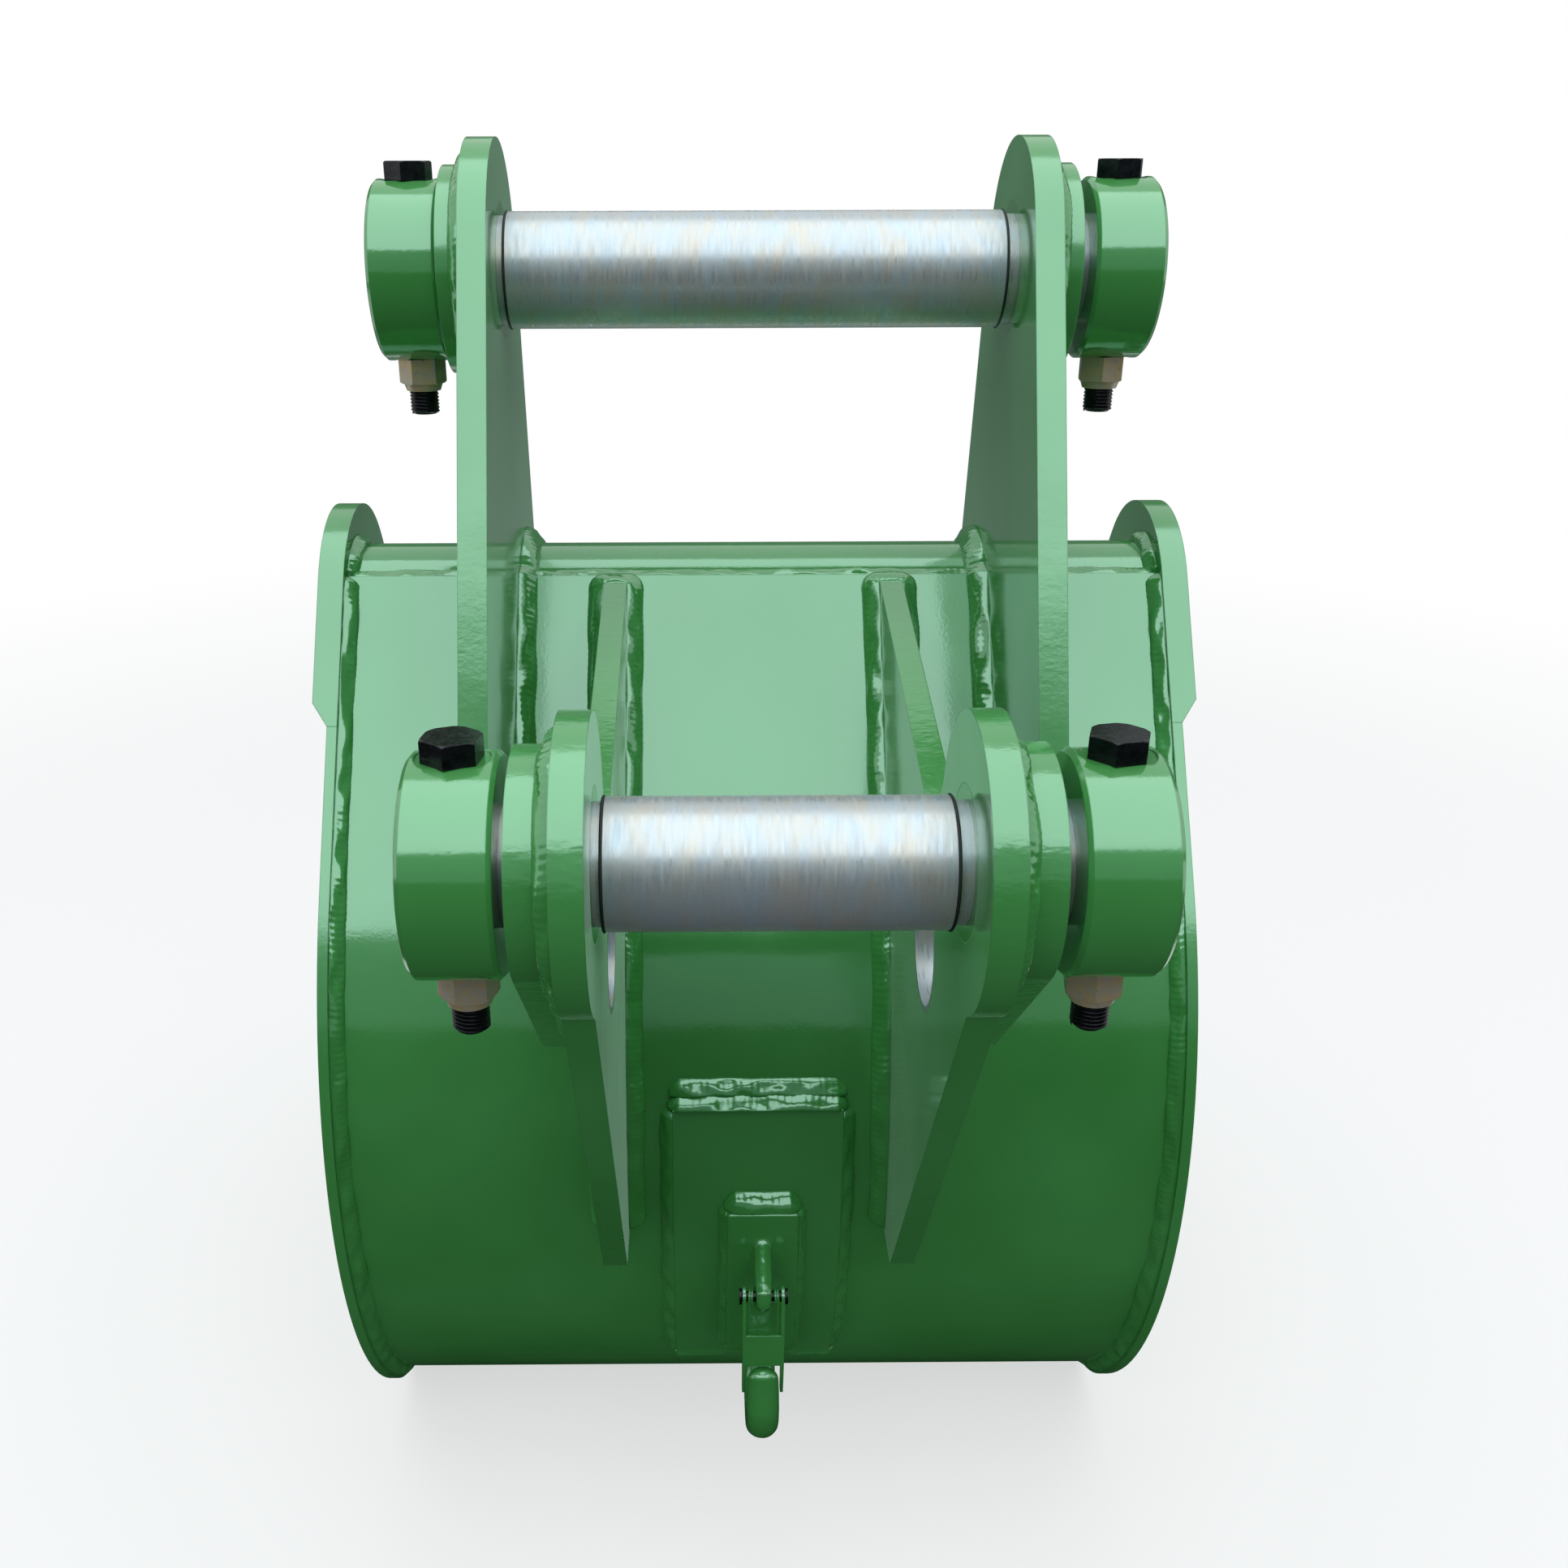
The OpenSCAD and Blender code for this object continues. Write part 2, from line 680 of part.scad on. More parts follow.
module dipper_bolts() {
    collar_bolts(dipper_c, dipper_x, dipper_play, dipper_shift);
}

module dipper_nuts() {
    lock_nuts(dipper_c, dipper_x, dipper_play, dipper_shift);
}

module link_bolts() {
    collar_bolts(link_c, link_x, link_play, link_shift);
}

module link_nuts() {
    lock_nuts(link_c, link_x, link_play, link_shift);
}

// The pad plate, bent to the heel, which carries the lifting hook
module heel_pad() {
    color(green) across(-pad_w / 2, pad_w) difference() {
        slice(heel_up, pad_r, 180 - pad_top, 180 + pad_low);
        disc(heel_up, shell_r);
    }
}

// Side view of the lifting hook: the lower half of a ring, its tip, and the shank with an eye
module hook_area() {
    tip_r = 8.5;
    tip_in = hook_c + [1 - hook_r, 0];
    shank = hook_c + [hook_out - foot_t - 4, foot_up];
    difference() {
        union() {
            slice(hook_c, bow_r, 180, 360);
            disc(tip_in + [-tip_r, tip_up - tip_r], tip_r);
            polygon([hook_c + [-bow_r, 0], tip_in + [-2 * tip_r, tip_up - tip_r],
                tip_in + [0, tip_up - tip_r], tip_in]);
            polygon([hook_c + [0, -bow_r], hook_c + [hook_out + 20, -bow_r + 24],
                hook_c + [hook_out + 20, foot_up], shank, pivot_c + [-9, 9], pivot_c + [-11, -4],
                pivot_c + [-4, -13], pivot_c + [39, -39], hook_c + [hook_r, hook_r]]);
            disc(pivot_c, 11);
        }
        disc(hook_c, hook_r);
        disc(heel_up, pad_r);
        disc(pivot_c, latch_pin_d / 2);
    }
}

// Side view of the foot that is welded to the pad
module foot_area() {
    difference() {
        slice(heel_up, pad_r + foot_t, foot_low, foot_high);
        disc(heel_up, pad_r);
    }
}

// The forged hook: a broad foot, a thin shank with the eye of the latch, and the bow
module hook_body() {
    side_w = (hook_t - eye_w) / 2;
    color(green) translate([hook_x, 0, 0]) {
        difference() {
            across(-hook_t / 2, hook_t) hook_area();
            for (x = [-hook_t / 2 - 1, eye_w / 2]) across(x, side_w + 1)
                polygon([pivot_c + [-30, -26], pivot_c + [18, -26], pivot_c + [34, 0], pivot_c + [34, 80],
                    pivot_c + [-30, 80]]);
        }
        across(-foot_w / 2, foot_w) foot_area();
    }
}

// The latch: a folded sheet channel that swings on its pin, its sides past the hook's tip
module hook_latch() {
    in_w = hook_t + 2 * latch_gap;
    out_w = in_w + 2 * latch_t;
    ear_r = latch_pin_d / 2 + 4.5;
    color(green) translate([hook_x, pivot_c[0], pivot_c[1]]) difference() {
        union() {
            for (x = [-out_w / 2, in_w / 2]) across(x, latch_t) {
                circle(ear_r);
                polygon([[-ear_r, 0], [-ear_r - 3, -22], [-ear_r - 3, -web_low], [-ear_r + 2, -latch_len],
                    [-ear_r + 9, -latch_len], [0, -24], [ear_r, 0]]);
            }
            across(-out_w / 2, out_w) polygon([[-ear_r - 3, -latch_window], [-ear_r - 3, -web_low],
                [-ear_r - 3 + latch_t, -web_low], [-ear_r - 3 + latch_t, -latch_window]]);
        }
        rod([0, 0], latch_pin_d / 2 + latch_fit, -out_w, 2 * out_w);
    }
}

// The riveted pin of the latch
module latch_pin() {
    len = hook_t + 2 * latch_gap + 2 * latch_t + 1;
    color(dark) translate([hook_x, 0, 0]) {
        rod(pivot_c, latch_pin_d / 2, -len / 2, len);
        for (x = [-len / 2 - 2, len / 2]) rod(pivot_c, latch_pin_d / 2 + 2, x, 2);
    }
}

// A torsion spring on each side of the hook's eye: two close turns and two legs
module latch_spring() {
    ri = latch_pin_d / 2 + 0.4;
    w = wire_d;
    e = 0.3 * wire_d;
    translate([hook_x, 0, 0]) both() color(zinc) translate([eye_w / 2 + 0.5, pivot_c[0], pivot_c[1]]) {
        rotate([0, 90, 0]) rotate_extrude() polygon([[ri, e], [ri + e, 0], [ri + w - e, 0], [ri + w, e],
            [ri + w, w - e], [ri + w - e, w], [ri + w, w + e], [ri + w, 2 * w - e], [ri + w - e, 2 * w],
            [ri + e, 2 * w], [ri, 2 * w - e]]);
        translate([1.5 * w, -ri - w / 2, 0]) rotate([176, 0, 0]) cylinder(h = latch_window + 5, r = 0.48 * w);
        translate([0.5 * w, ri + w / 2, 0]) rotate([180, 0, 0]) cylinder(h = 9, r = 0.48 * w);
    }
}

wrapper();
torque_tube();
side_plate(false);  // side_plate_left
side_plate(true);  // side_plate_right
side_bar(false);  // side_bar_left
side_bar(true);  // side_bar_right
cutting_edge();
tooth_adapter(0);  // tooth_adapter_1
tooth_adapter(1);  // tooth_adapter_2
tooth_adapter(2);  // tooth_adapter_3
tooth_adapter(3);  // tooth_adapter_4
tooth_point(0);  // tooth_point_1
tooth_point(1);  // tooth_point_2
tooth_point(2);  // tooth_point_3
tooth_point(3);  // tooth_point_4
tooth_pins();
dipper_ear(false);  // dipper_ear_left
dipper_ear(true);  // dipper_ear_right
link_ear(false);  // link_ear_left
link_ear(true);  // link_ear_right
link_doubler(false);  // link_doubler_left
link_doubler(true);  // link_doubler_right
dipper_boss(false);  // dipper_boss_left
dipper_boss(true);  // dipper_boss_right
dipper_bush(false);  // dipper_bush_left
dipper_bush(true);  // dipper_bush_right
link_bush(false);  // link_bush_left
link_bush(true);  // link_bush_right
spare_bush(false);  // spare_bush_left
spare_bush(true);  // spare_bush_right
dipper_pin();
link_pin();
dipper_sleeve();
link_sleeve();
dipper_seals();
link_seals();
dipper_collar(false);  // dipper_collar_left
dipper_collar(true);  // dipper_collar_right
link_collar(false);  // link_collar_left
link_collar(true);  // link_collar_right
dipper_bolts();
dipper_nuts();
link_bolts();
link_nuts();
heel_pad();
hook_body();
hook_latch();
latch_pin();
latch_spring();
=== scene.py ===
# %% [markdown]
# A digging bucket for an excavator arm, seen from behind and a little above.
# The solids of the bucket come packed, in metres, in one shared frame. This lesson adds what
# a solid does not carry: paint, ground steel, weld beads, threads and the studio round it.
# X runs across the bucket, +Y points out of its mouth, Z is up.

# %% Load the solids as a fixed frame
import json
import math

import bpy
from mathutils import Matrix, Vector, noise
from mathutils.bvhtree import BVHTree


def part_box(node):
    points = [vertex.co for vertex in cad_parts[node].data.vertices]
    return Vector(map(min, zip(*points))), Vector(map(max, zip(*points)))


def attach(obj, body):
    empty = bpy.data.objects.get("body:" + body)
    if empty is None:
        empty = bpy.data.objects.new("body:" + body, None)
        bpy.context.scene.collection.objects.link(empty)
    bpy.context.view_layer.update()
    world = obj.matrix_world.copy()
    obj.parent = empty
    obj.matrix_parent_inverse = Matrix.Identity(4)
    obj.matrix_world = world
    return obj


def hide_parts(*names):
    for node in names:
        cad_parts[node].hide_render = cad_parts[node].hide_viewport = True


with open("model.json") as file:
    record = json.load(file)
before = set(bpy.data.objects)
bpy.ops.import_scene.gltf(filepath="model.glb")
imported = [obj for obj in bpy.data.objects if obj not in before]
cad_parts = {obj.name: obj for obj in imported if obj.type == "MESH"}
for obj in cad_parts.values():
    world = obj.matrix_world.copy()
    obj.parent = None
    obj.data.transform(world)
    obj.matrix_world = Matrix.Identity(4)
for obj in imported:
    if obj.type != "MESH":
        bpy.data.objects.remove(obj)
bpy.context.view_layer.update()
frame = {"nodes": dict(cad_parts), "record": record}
NODE = frame["nodes"]

# %% [markdown]
# The camera stands behind the bucket, a little above its pins, and looks down at it. Its
# place was found from the bolts, which hang plumb, and from the round ends of the collars.
# A camera in Blender looks along its own -Z, so it is first stood up to look along +Y, and
# is then turned by the three small angles of the photograph.

# %% Camera at the photograph's place
scene = bpy.context.scene
CAMERA_PLACE = Vector((-0.0428, -1.8005, 1.0723))
CAMERA_DOWN = math.radians(23.71)
CAMERA_LEFT = math.radians(0.22)
CAMERA_ROLL = math.radians(0.29)
FOCAL_PX = 1900
IMAGE_PX = 1932
AXIS_PX = (870, 1042)
SENSOR_MM = 36.0

camera = bpy.data.objects.new("camera", bpy.data.cameras.new("camera"))
scene.collection.objects.link(camera)
scene.camera = camera
camera.data.sensor_width = SENSOR_MM
camera.data.lens = SENSOR_MM * FOCAL_PX / IMAGE_PX
camera.data.clip_start = 0.02
camera.data.shift_x = (IMAGE_PX / 2 - AXIS_PX[0]) / IMAGE_PX
camera.data.shift_y = (AXIS_PX[1] - IMAGE_PX / 2) / IMAGE_PX
turn = (Matrix.Rotation(-CAMERA_DOWN, 4, "X") @ Matrix.Rotation(-CAMERA_LEFT, 4, "Z")
        @ Matrix.Rotation(CAMERA_ROLL, 4, "Y") @ Matrix.Rotation(math.radians(90), 4, "X"))
camera.matrix_world = Matrix.Translation(CAMERA_PLACE) @ turn
print("lens in mm:", round(camera.data.lens, 2))

# %% [markdown]
# Every material and the world below are trees of nodes. Colours are written as sRGB hex
# values, as a paint shop would note them, and one function turns them to the linear numbers
# that a renderer works in. A second small function adds any node with its settings and links.

# %% Two helpers for every tree of nodes
def linear(hex_colour):
    """The linear colour of an sRGB hex value such as #2a7d3a."""
    parts = [int(hex_colour[i:i + 2], 16) / 255 for i in (1, 3, 5)]
    return [c / 12.92 if c <= 0.04045 else ((c + 0.055) / 1.055) ** 2.4 for c in parts] + [1.0]


def add(tree, kind, links=None, **settings):
    """Adds a node. Settings are its own values, or its inputs by name with _ for a space.

    links gives the inputs, by name or number, that other nodes feed.
    """
    made = tree.nodes.new(kind)
    for name, value in settings.items():
        if hasattr(made, name):
            setattr(made, name, value)
        else:
            made.inputs[name.replace("_", " ")].default_value = value
    for name, source in (links or {}).items():
        tree.links.new(source, made.inputs[name])
    return made


print("mid green in linear numbers:", [round(c, 3) for c in linear("#34793f")])

# %% [markdown]
# Gloss paint is mostly what it mirrors. The real bucket stood in a yard under a pale sky, with
# a dark row of things behind the camera that ended about 33 degrees up: its upper faces and
# the tops of its collars mirror the sky, and below a sharp line they mirror the dark. The sky
# is one wide soft box behind and above the camera, the rest of the light is an even white
# world. What the camera, a mirror or clear glass sees of the world is plain white.

# %% World: even light, and white where it is seen
world = bpy.data.worlds.new("studio")
scene.world = world
world.use_nodes = True
air = world.node_tree
air.nodes.clear()


def seen_directly(tree):
    """1 for what the camera, a mirror or clear glass sees, 0 for light that falls on a surface."""
    ray = add(tree, "ShaderNodeLightPath")
    sees = add(tree, "ShaderNodeMath", {0: ray.outputs["Is Camera Ray"], 1: ray.outputs["Is Glossy Ray"]},
               operation="MAXIMUM")
    return add(tree, "ShaderNodeMath", {0: sees.outputs[0], 1: ray.outputs["Is Transmission Ray"]},
               operation="MAXIMUM").outputs[0]


even = add(air, "ShaderNodeBackground", Color=linear("#f3f8ff"), Strength=0.4)
white = add(air, "ShaderNodeBackground", Color=(1, 1, 1, 1), Strength=1.0)
sorted_rays = add(air, "ShaderNodeMixShader",
                  {0: seen_directly(air), 1: even.outputs[0], 2: white.outputs[0]})
add(air, "ShaderNodeOutputWorld", {"Surface": sorted_rays.outputs[0]})
print("world nodes:", len(air.nodes))

# %% One soft box behind and above the camera
LIGHT_AIM = Vector((0.0, -0.7, 0.7))
LOW_EDGE = math.radians(33)
HIGH_EDGE = math.radians(112)
BOX_AWAY = 4.4
BOX_WIDE = 7.0
BOX_WATTS = 275
BOX_TALL = 2 * BOX_AWAY * math.tan((HIGH_EDGE - LOW_EDGE) / 2)


def soft_box(name, place, wide, tall, watts, colour):
    """A rectangular lamp that faces the bucket and isn't seen by the camera itself."""
    data = bpy.data.lights.new(name, "AREA")
    data.shape = "RECTANGLE"
    data.size, data.size_y = wide, tall
    data.energy = watts
    data.color = linear(colour)[:3]
    lamp = bpy.data.objects.new(name, data)
    scene.collection.objects.link(lamp)
    lamp.location = place
    lamp.rotation_euler = (LIGHT_AIM - Vector(place)).to_track_quat("-Z", "Y").to_euler()
    lamp.visible_camera = False
    return lamp


middle_up = (LOW_EDGE + HIGH_EDGE) / 2
box_place = LIGHT_AIM + BOX_AWAY * Vector((0, -math.cos(middle_up), math.sin(middle_up)))
soft_box("sky_box", box_place, BOX_WIDE, BOX_TALL, BOX_WATTS, "#f6fbff")
print("soft box at:", [round(c, 2) for c in box_place], "m, elevation", round(math.degrees(middle_up), 1))

# %% [markdown]
# A photographer keeps stray white out of a glossy part with black cards. Two stand here where
# the camera doesn't look: one behind it and one under the floor behind the bucket. Between the
# black one and the soft box is a pale grey card for the haze over the horizon, which the bare
# steel shows and the paint hardly does. Two grey ones do the same for the far side, where the
# ears mirror the yard in front of the bucket. Only mirrors see them, so they take no light
# from the scene.

# %% Black cards for the dark half of the reflections
def sheet_of(name, corners, material):
    """A flat card or stretch of floor from its corners, which isn't part of the bucket."""
    mesh = bpy.data.meshes.new(name)
    mesh.from_pydata(corners, [], [tuple(range(len(corners)))])
    mesh.materials.append(material)
    card = bpy.data.objects.new(name, mesh)
    scene.collection.objects.link(card)
    return card


def plain(name, colour, rough):
    """A matt material for the studio."""
    made = bpy.data.materials.new(name)
    made.use_nodes = True
    shader = made.node_tree.nodes["Principled BSDF"]
    shader.inputs["Base Color"].default_value = linear(colour)
    shader.inputs["Roughness"].default_value = rough
    return made


black_card = plain("black flocked card", "#20261f", 1.0)
CARD_Y = -4.2
HAZE_EDGE = math.radians(7)
CARD_X = 9
UNDER_FLOOR = -0.02
CARD_TOP = LIGHT_AIM.z + (LIGHT_AIM.y - CARD_Y) * math.tan(LOW_EDGE)
HAZE_FROM = LIGHT_AIM.z + (LIGHT_AIM.y - CARD_Y) * math.tan(HAZE_EDGE)
SPLIT_Y = -0.45
YARD_FROM, YARD_TO, YARD_Z, FAR_TOP = 0.6, 7, 0.002, 4.2


def card_between(name, first, second, material):
    """A card across the whole width between two lines, each given by its (y, z)."""
    (y0, z0), (y1, z1) = first, second
    return sheet_of(name, [(-CARD_X, y0, z0), (CARD_X, y0, z0), (CARD_X, y1, z1), (-CARD_X, y1, z1)], material)


rear_card = card_between("rear_card", (CARD_Y, UNDER_FLOOR), (CARD_Y, HAZE_FROM), black_card)
haze_card = card_between("haze_card", (CARD_Y, HAZE_FROM), (CARD_Y, CARD_TOP),
                         plain("pale grey card", "#b0bab6", 1.0))
low_card = card_between("low_card", (CARD_Y, UNDER_FLOOR), (SPLIT_Y, UNDER_FLOOR), black_card)
grey_card = plain("grey card", "#87938a", 1.0)
yard_card = card_between("yard_card", (YARD_FROM, YARD_Z), (YARD_TO, YARD_Z), grey_card)
far_card = card_between("far_card", (YARD_TO, 0), (YARD_TO, FAR_TOP), grey_card)
for card in (rear_card, haze_card, low_card, yard_card, far_card):
    card.visible_camera = False
    card.visible_diffuse = False
    card.visible_shadow = False
print("card up to z:", round(CARD_TOP, 2))

# %% [markdown]
# The floor is pale paper. Near the bucket it is lit like everything else and keeps the
# shadow; far out it turns into plain white, so that no line shows where it ends. The strip
# behind the bucket is seen by the camera only, so that the heel mirrors the dark card.

# %% Floor
paper = bpy.data.materials.new("pale paper floor")
paper.use_nodes = True
tree = paper.node_tree
tree.nodes.clear()
where = add(tree, "ShaderNodeNewGeometry")
away = add(tree, "ShaderNodeVectorMath", {0: where.outputs["Position"]}, operation="LENGTH")
far = add(tree, "ShaderNodeMapRange", {"Value": away.outputs["Value"]}, interpolation_type="SMOOTHSTEP",
          From_Min=1.0, From_Max=3.2, To_Min=0.62, To_Max=1.0)
share = add(tree, "ShaderNodeMath", {0: far.outputs[0], 1: seen_directly(tree)}, operation="MULTIPLY")
matt = add(tree, "ShaderNodeBsdfDiffuse", Color=linear("#f6f6f4"))
glow = add(tree, "ShaderNodeEmission", Color=(1, 1, 1, 1), Strength=1.0)
paper_mix = add(tree, "ShaderNodeMixShader", {0: share.outputs[0], 1: matt.outputs[0], 2: glow.outputs[0]})
add(tree, "ShaderNodeOutputMaterial", {"Surface": paper_mix.outputs[0]})

FLOOR_Z, FLOOR_FAR = -0.001, 40
floor = {}
for name, y0, y1 in (("floor_front", SPLIT_Y, FLOOR_FAR), ("floor_rear", -FLOOR_FAR, SPLIT_Y)):
    floor[name] = sheet_of(name, [(-FLOOR_FAR, y0, FLOOR_Z), (FLOOR_FAR, y0, FLOOR_Z),
                                  (FLOOR_FAR, y1, FLOOR_Z), (-FLOOR_FAR, y1, FLOOR_Z)], paper)
floor["floor_rear"].visible_diffuse = False
floor["floor_rear"].visible_glossy = False
print("floor sheets:", list(floor), "at z:", FLOOR_Z)

# %% [markdown]
# The paint is a sprayed gloss enamel: a deep green binder under a hard, wet looking skin. It
# gives the eye saturated green in the shade and pale mint where it mirrors the sky. A plain
# enamel has an index of refraction of 1.5. It is 2.25 here because a real sky is many times
# brighter than the soft box is at a plain light level, so the paint mirrors more of it.
# A spray gun leaves two marks: orange peel, bumps about 2.6 mm wide, and a slow wave of some
# 70 mm that bends every reflection a little.
# Plate edges that were cut by flame keep fine lines across the plate under the paint. The
# bevel node rounds sharp edges by about a millimetre, as several coats of paint do. Between
# the ears the gun can't be held square to the plate, and its mist dries before it lands. That
# leaves a pale bloom that shows when the plate is seen nearly edge on, as a sheen does.

# %% Shared coordinates: real millimetres for every pattern
def in_mm(tree, x=1.0, y=1.0, z=1.0):
    """Object coordinates as millimetres, stretched per axis: a larger number is a finer pattern."""
    place = add(tree, "ShaderNodeTexCoord")
    return add(tree, "ShaderNodeMapping", {"Vector": place.outputs["Object"]},
               Scale=(1000 * x, 1000 * y, 1000 * z)).outputs[0]


def speckle(tree, size_mm, detail=2.0, stretch=(1, 1, 1), rough=0.5):
    """A cloudy pattern whose lumps are about size_mm wide; the value is 0 to 1."""
    made = add(tree, "ShaderNodeTexNoise", {"Vector": in_mm(tree, *stretch)}, Scale=1.0 / size_mm,
               Detail=detail, Roughness=rough)
    return made.outputs[0]


def between(tree, value, low, high):
    """Turns the middle of a 0 to 1 pattern into numbers from low to high."""
    return add(tree, "ShaderNodeMapRange", {"Value": value}, From_Min=0.3, From_Max=0.7, To_Min=low,
               To_Max=high).outputs[0]


def two_tone(tree, value, first, second):
    """A colour between two hex colours, by a 0 to 1 pattern."""
    made = add(tree, "ShaderNodeMix", {"Factor": value}, data_type="RGBA")
    made.inputs[6].default_value = linear(first)
    made.inputs[7].default_value = linear(second)
    return made.outputs[2]


def relief(tree, height, depth_mm, normal=None, strength=1.0):
    """Bumps of depth_mm from a 0 to 1 pattern, on top of an earlier relief."""
    links = {"Height": height}
    if normal is not None:
        links["Normal"] = normal
    return add(tree, "ShaderNodeBump", links, Distance=depth_mm / 1000, Strength=strength).outputs[0]


print("pattern helpers ready")

# %% Green gloss enamel
def new_finish(name):
    """An empty material with its tree and shader."""
    made = bpy.data.materials.new(name)
    made.use_nodes = True
    return made, made.node_tree, made.node_tree.nodes["Principled BSDF"]


CUT_DULLER = 0.06


def enamel(name, flame_cut=0.0, turned=0.0, overspray=0.0):
    """Sprayed gloss enamel.

    flame_cut adds drag lines on plate edges, turned adds rings round X, overspray a dry mist.
    """
    made, tree, shader = new_finish(name)
    shader.inputs["IOR"].default_value = 2.25
    shader.inputs["Specular Tint"].default_value = linear("#d3feeb")
    shader.inputs["Sheen Weight"].default_value = overspray
    shader.inputs["Sheen Roughness"].default_value = 0.16
    shader.inputs["Sheen Tint"].default_value = linear("#d9ffe6")
    colour = two_tone(tree, between(tree, speckle(tree, 160), 0, 1), "#3a863c", "#46934a")
    tree.links.new(colour, shader.inputs["Base Color"])
    rough = between(tree, speckle(tree, 45), 0.085, 0.14)
    rounded = add(tree, "ShaderNodeBevel", samples=4, Radius=0.0011).outputs[0]
    skin = relief(tree, speckle(tree, 70, 1.0), 0.45, rounded)
    skin = relief(tree, speckle(tree, 2.6, 1.0), 0.035, skin)
    if turned:
        skin = relief(tree, speckle(tree, 1.6, 1.0, (1, 0.01, 0.01)), turned, skin)
    if flame_cut:
        facing = add(tree, "ShaderNodeNewGeometry")
        across = add(tree, "ShaderNodeSeparateXYZ", {0: facing.outputs["True Normal"]})
        flat = add(tree, "ShaderNodeMath", {0: across.outputs["X"]}, operation="ABSOLUTE")
        rim = add(tree, "ShaderNodeMapRange", {"Value": flat.outputs[0]}, From_Min=0.5, From_Max=0.3,
                  To_Min=0.0, To_Max=1.0).outputs[0]
        drag = speckle(tree, 5.0, 2.0, (0.5, 1, 1), 0.5)
        wrinkle = speckle(tree, 14.0, 2.5, (0.8, 1, 1), 0.5)
        both = add(tree, "ShaderNodeMath", {0: drag, 1: wrinkle}, operation="ADD").outputs[0]
        only_rim = add(tree, "ShaderNodeMath", {0: both, 1: rim}, operation="MULTIPLY").outputs[0]
        skin = relief(tree, only_rim, flame_cut, skin)
        rough = add(tree, "ShaderNodeMath", {0: rim, 2: rough}, operation="MULTIPLY_ADD")
        rough.inputs[1].default_value = CUT_DULLER
        rough = rough.outputs[0]
    tree.links.new(rough, shader.inputs["Roughness"])
    tree.links.new(skin, shader.inputs["Normal"])
    return made


gloss_enamel = enamel("green gloss enamel")
cut_enamel = enamel("green gloss enamel on flame cut plate", flame_cut=0.07)
ear_enamel = enamel("green gloss enamel on the dipper ears", flame_cut=0.07, overspray=0.35)
rough_enamel = enamel("green gloss enamel on rough cut plate", flame_cut=0.22, overspray=0.6)
turned_enamel = enamel("green gloss enamel on turned rings", turned=0.03)
print("enamels:", [m.name for m in (gloss_enamel, cut_enamel, ear_enamel, rough_enamel, turned_enamel)])

# %% [markdown]
# The sleeves and pins are turned and ground steel, left bare: a satin metal with very fine
# rings round its axis, which draw every highlight out along X, and a thin yellowish film in
# patches where grease has dried. The film scatters light like a thin milky coat, so the
# material is only partly a mirror of metal. Metals keep the default index of refraction. The
# grinding rings are under 0.1 mm on the real pin and are drawn about 0.8 mm apart, to show.
# The shader's anisotropic input could stretch the highlights as well, but rings drawn as relief
# also break them up, as grinding does.

# %% Ground steel
steel, tree, shader = new_finish("ground steel")
shader.inputs["Metallic"].default_value = 0.55
tint = two_tone(tree, between(tree, speckle(tree, 13, 4.0, (1.3, 0.5, 0.5)), 0, 1), "#abbcc5", "#b7b7af")
tree.links.new(tint, shader.inputs["Base Color"])
tree.links.new(between(tree, speckle(tree, 5, 3.0, (2.6, 0.3, 0.3)), 0.24, 0.46), shader.inputs["Roughness"])
rounded = add(tree, "ShaderNodeBevel", samples=4, Radius=0.0006).outputs[0]
rings = relief(tree, speckle(tree, 0.8, 2.0, (1, 0.02, 0.02)), 0.012, rounded)
rings = relief(tree, speckle(tree, 5.0, 1.0, (2.6, 0.3, 0.3)), 0.008, rings)
tree.links.new(rings, shader.inputs["Normal"])
print("made:", steel.name)

# %% [markdown]
# The bolts are black oxide steel: a thin dark oxide on a forged head, nearly black with a soft
# sheen that is lighter where hands and spanners have rubbed it. The nuts are plated with zinc
# and passivated yellow, which ages to a dull tan with grey steel showing through. An image
# could carry such wear, but it would have to be unwrapped and painted; two colours mixed by a
# cloudy pattern need neither.

# %% Black oxide steel
black, tree, shader = new_finish("black oxide steel")
shader.inputs["Metallic"].default_value = 0.6
worn = between(tree, speckle(tree, 7, 4.0), 0, 1)
tree.links.new(two_tone(tree, worn, "#0c0d10", "#24272d"), shader.inputs["Base Color"])
tree.links.new(between(tree, speckle(tree, 3, 3.0), 0.14, 0.3), shader.inputs["Roughness"])
rounded = add(tree, "ShaderNodeBevel", samples=4, Radius=0.0009).outputs[0]
tree.links.new(relief(tree, speckle(tree, 1.8, 3.0), 0.06, rounded), shader.inputs["Normal"])
print("made:", black.name)

# %% Yellow passivated zinc
zinc, tree, shader = new_finish("yellow passivated zinc plate")
shader.inputs["Metallic"].default_value = 0.4
aged = between(tree, speckle(tree, 6, 3.0), 0, 1)
tree.links.new(two_tone(tree, aged, "#c6b07e", "#b1aea0"), shader.inputs["Base Color"])
tree.links.new(between(tree, speckle(tree, 4, 3.0), 0.26, 0.44), shader.inputs["Roughness"])
rounded = add(tree, "ShaderNodeBevel", samples=4, Radius=0.0009).outputs[0]
tree.links.new(relief(tree, speckle(tree, 1.2, 3.0), 0.03, rounded), shader.inputs["Normal"])
print("made:", zinc.name)

# %% [markdown]
# The seal rings beside the ears are moulded nitrile rubber: matt, nearly black, with the fine
# grain of the mould. They are thin, so the same cloudy pattern does for colour and grain.

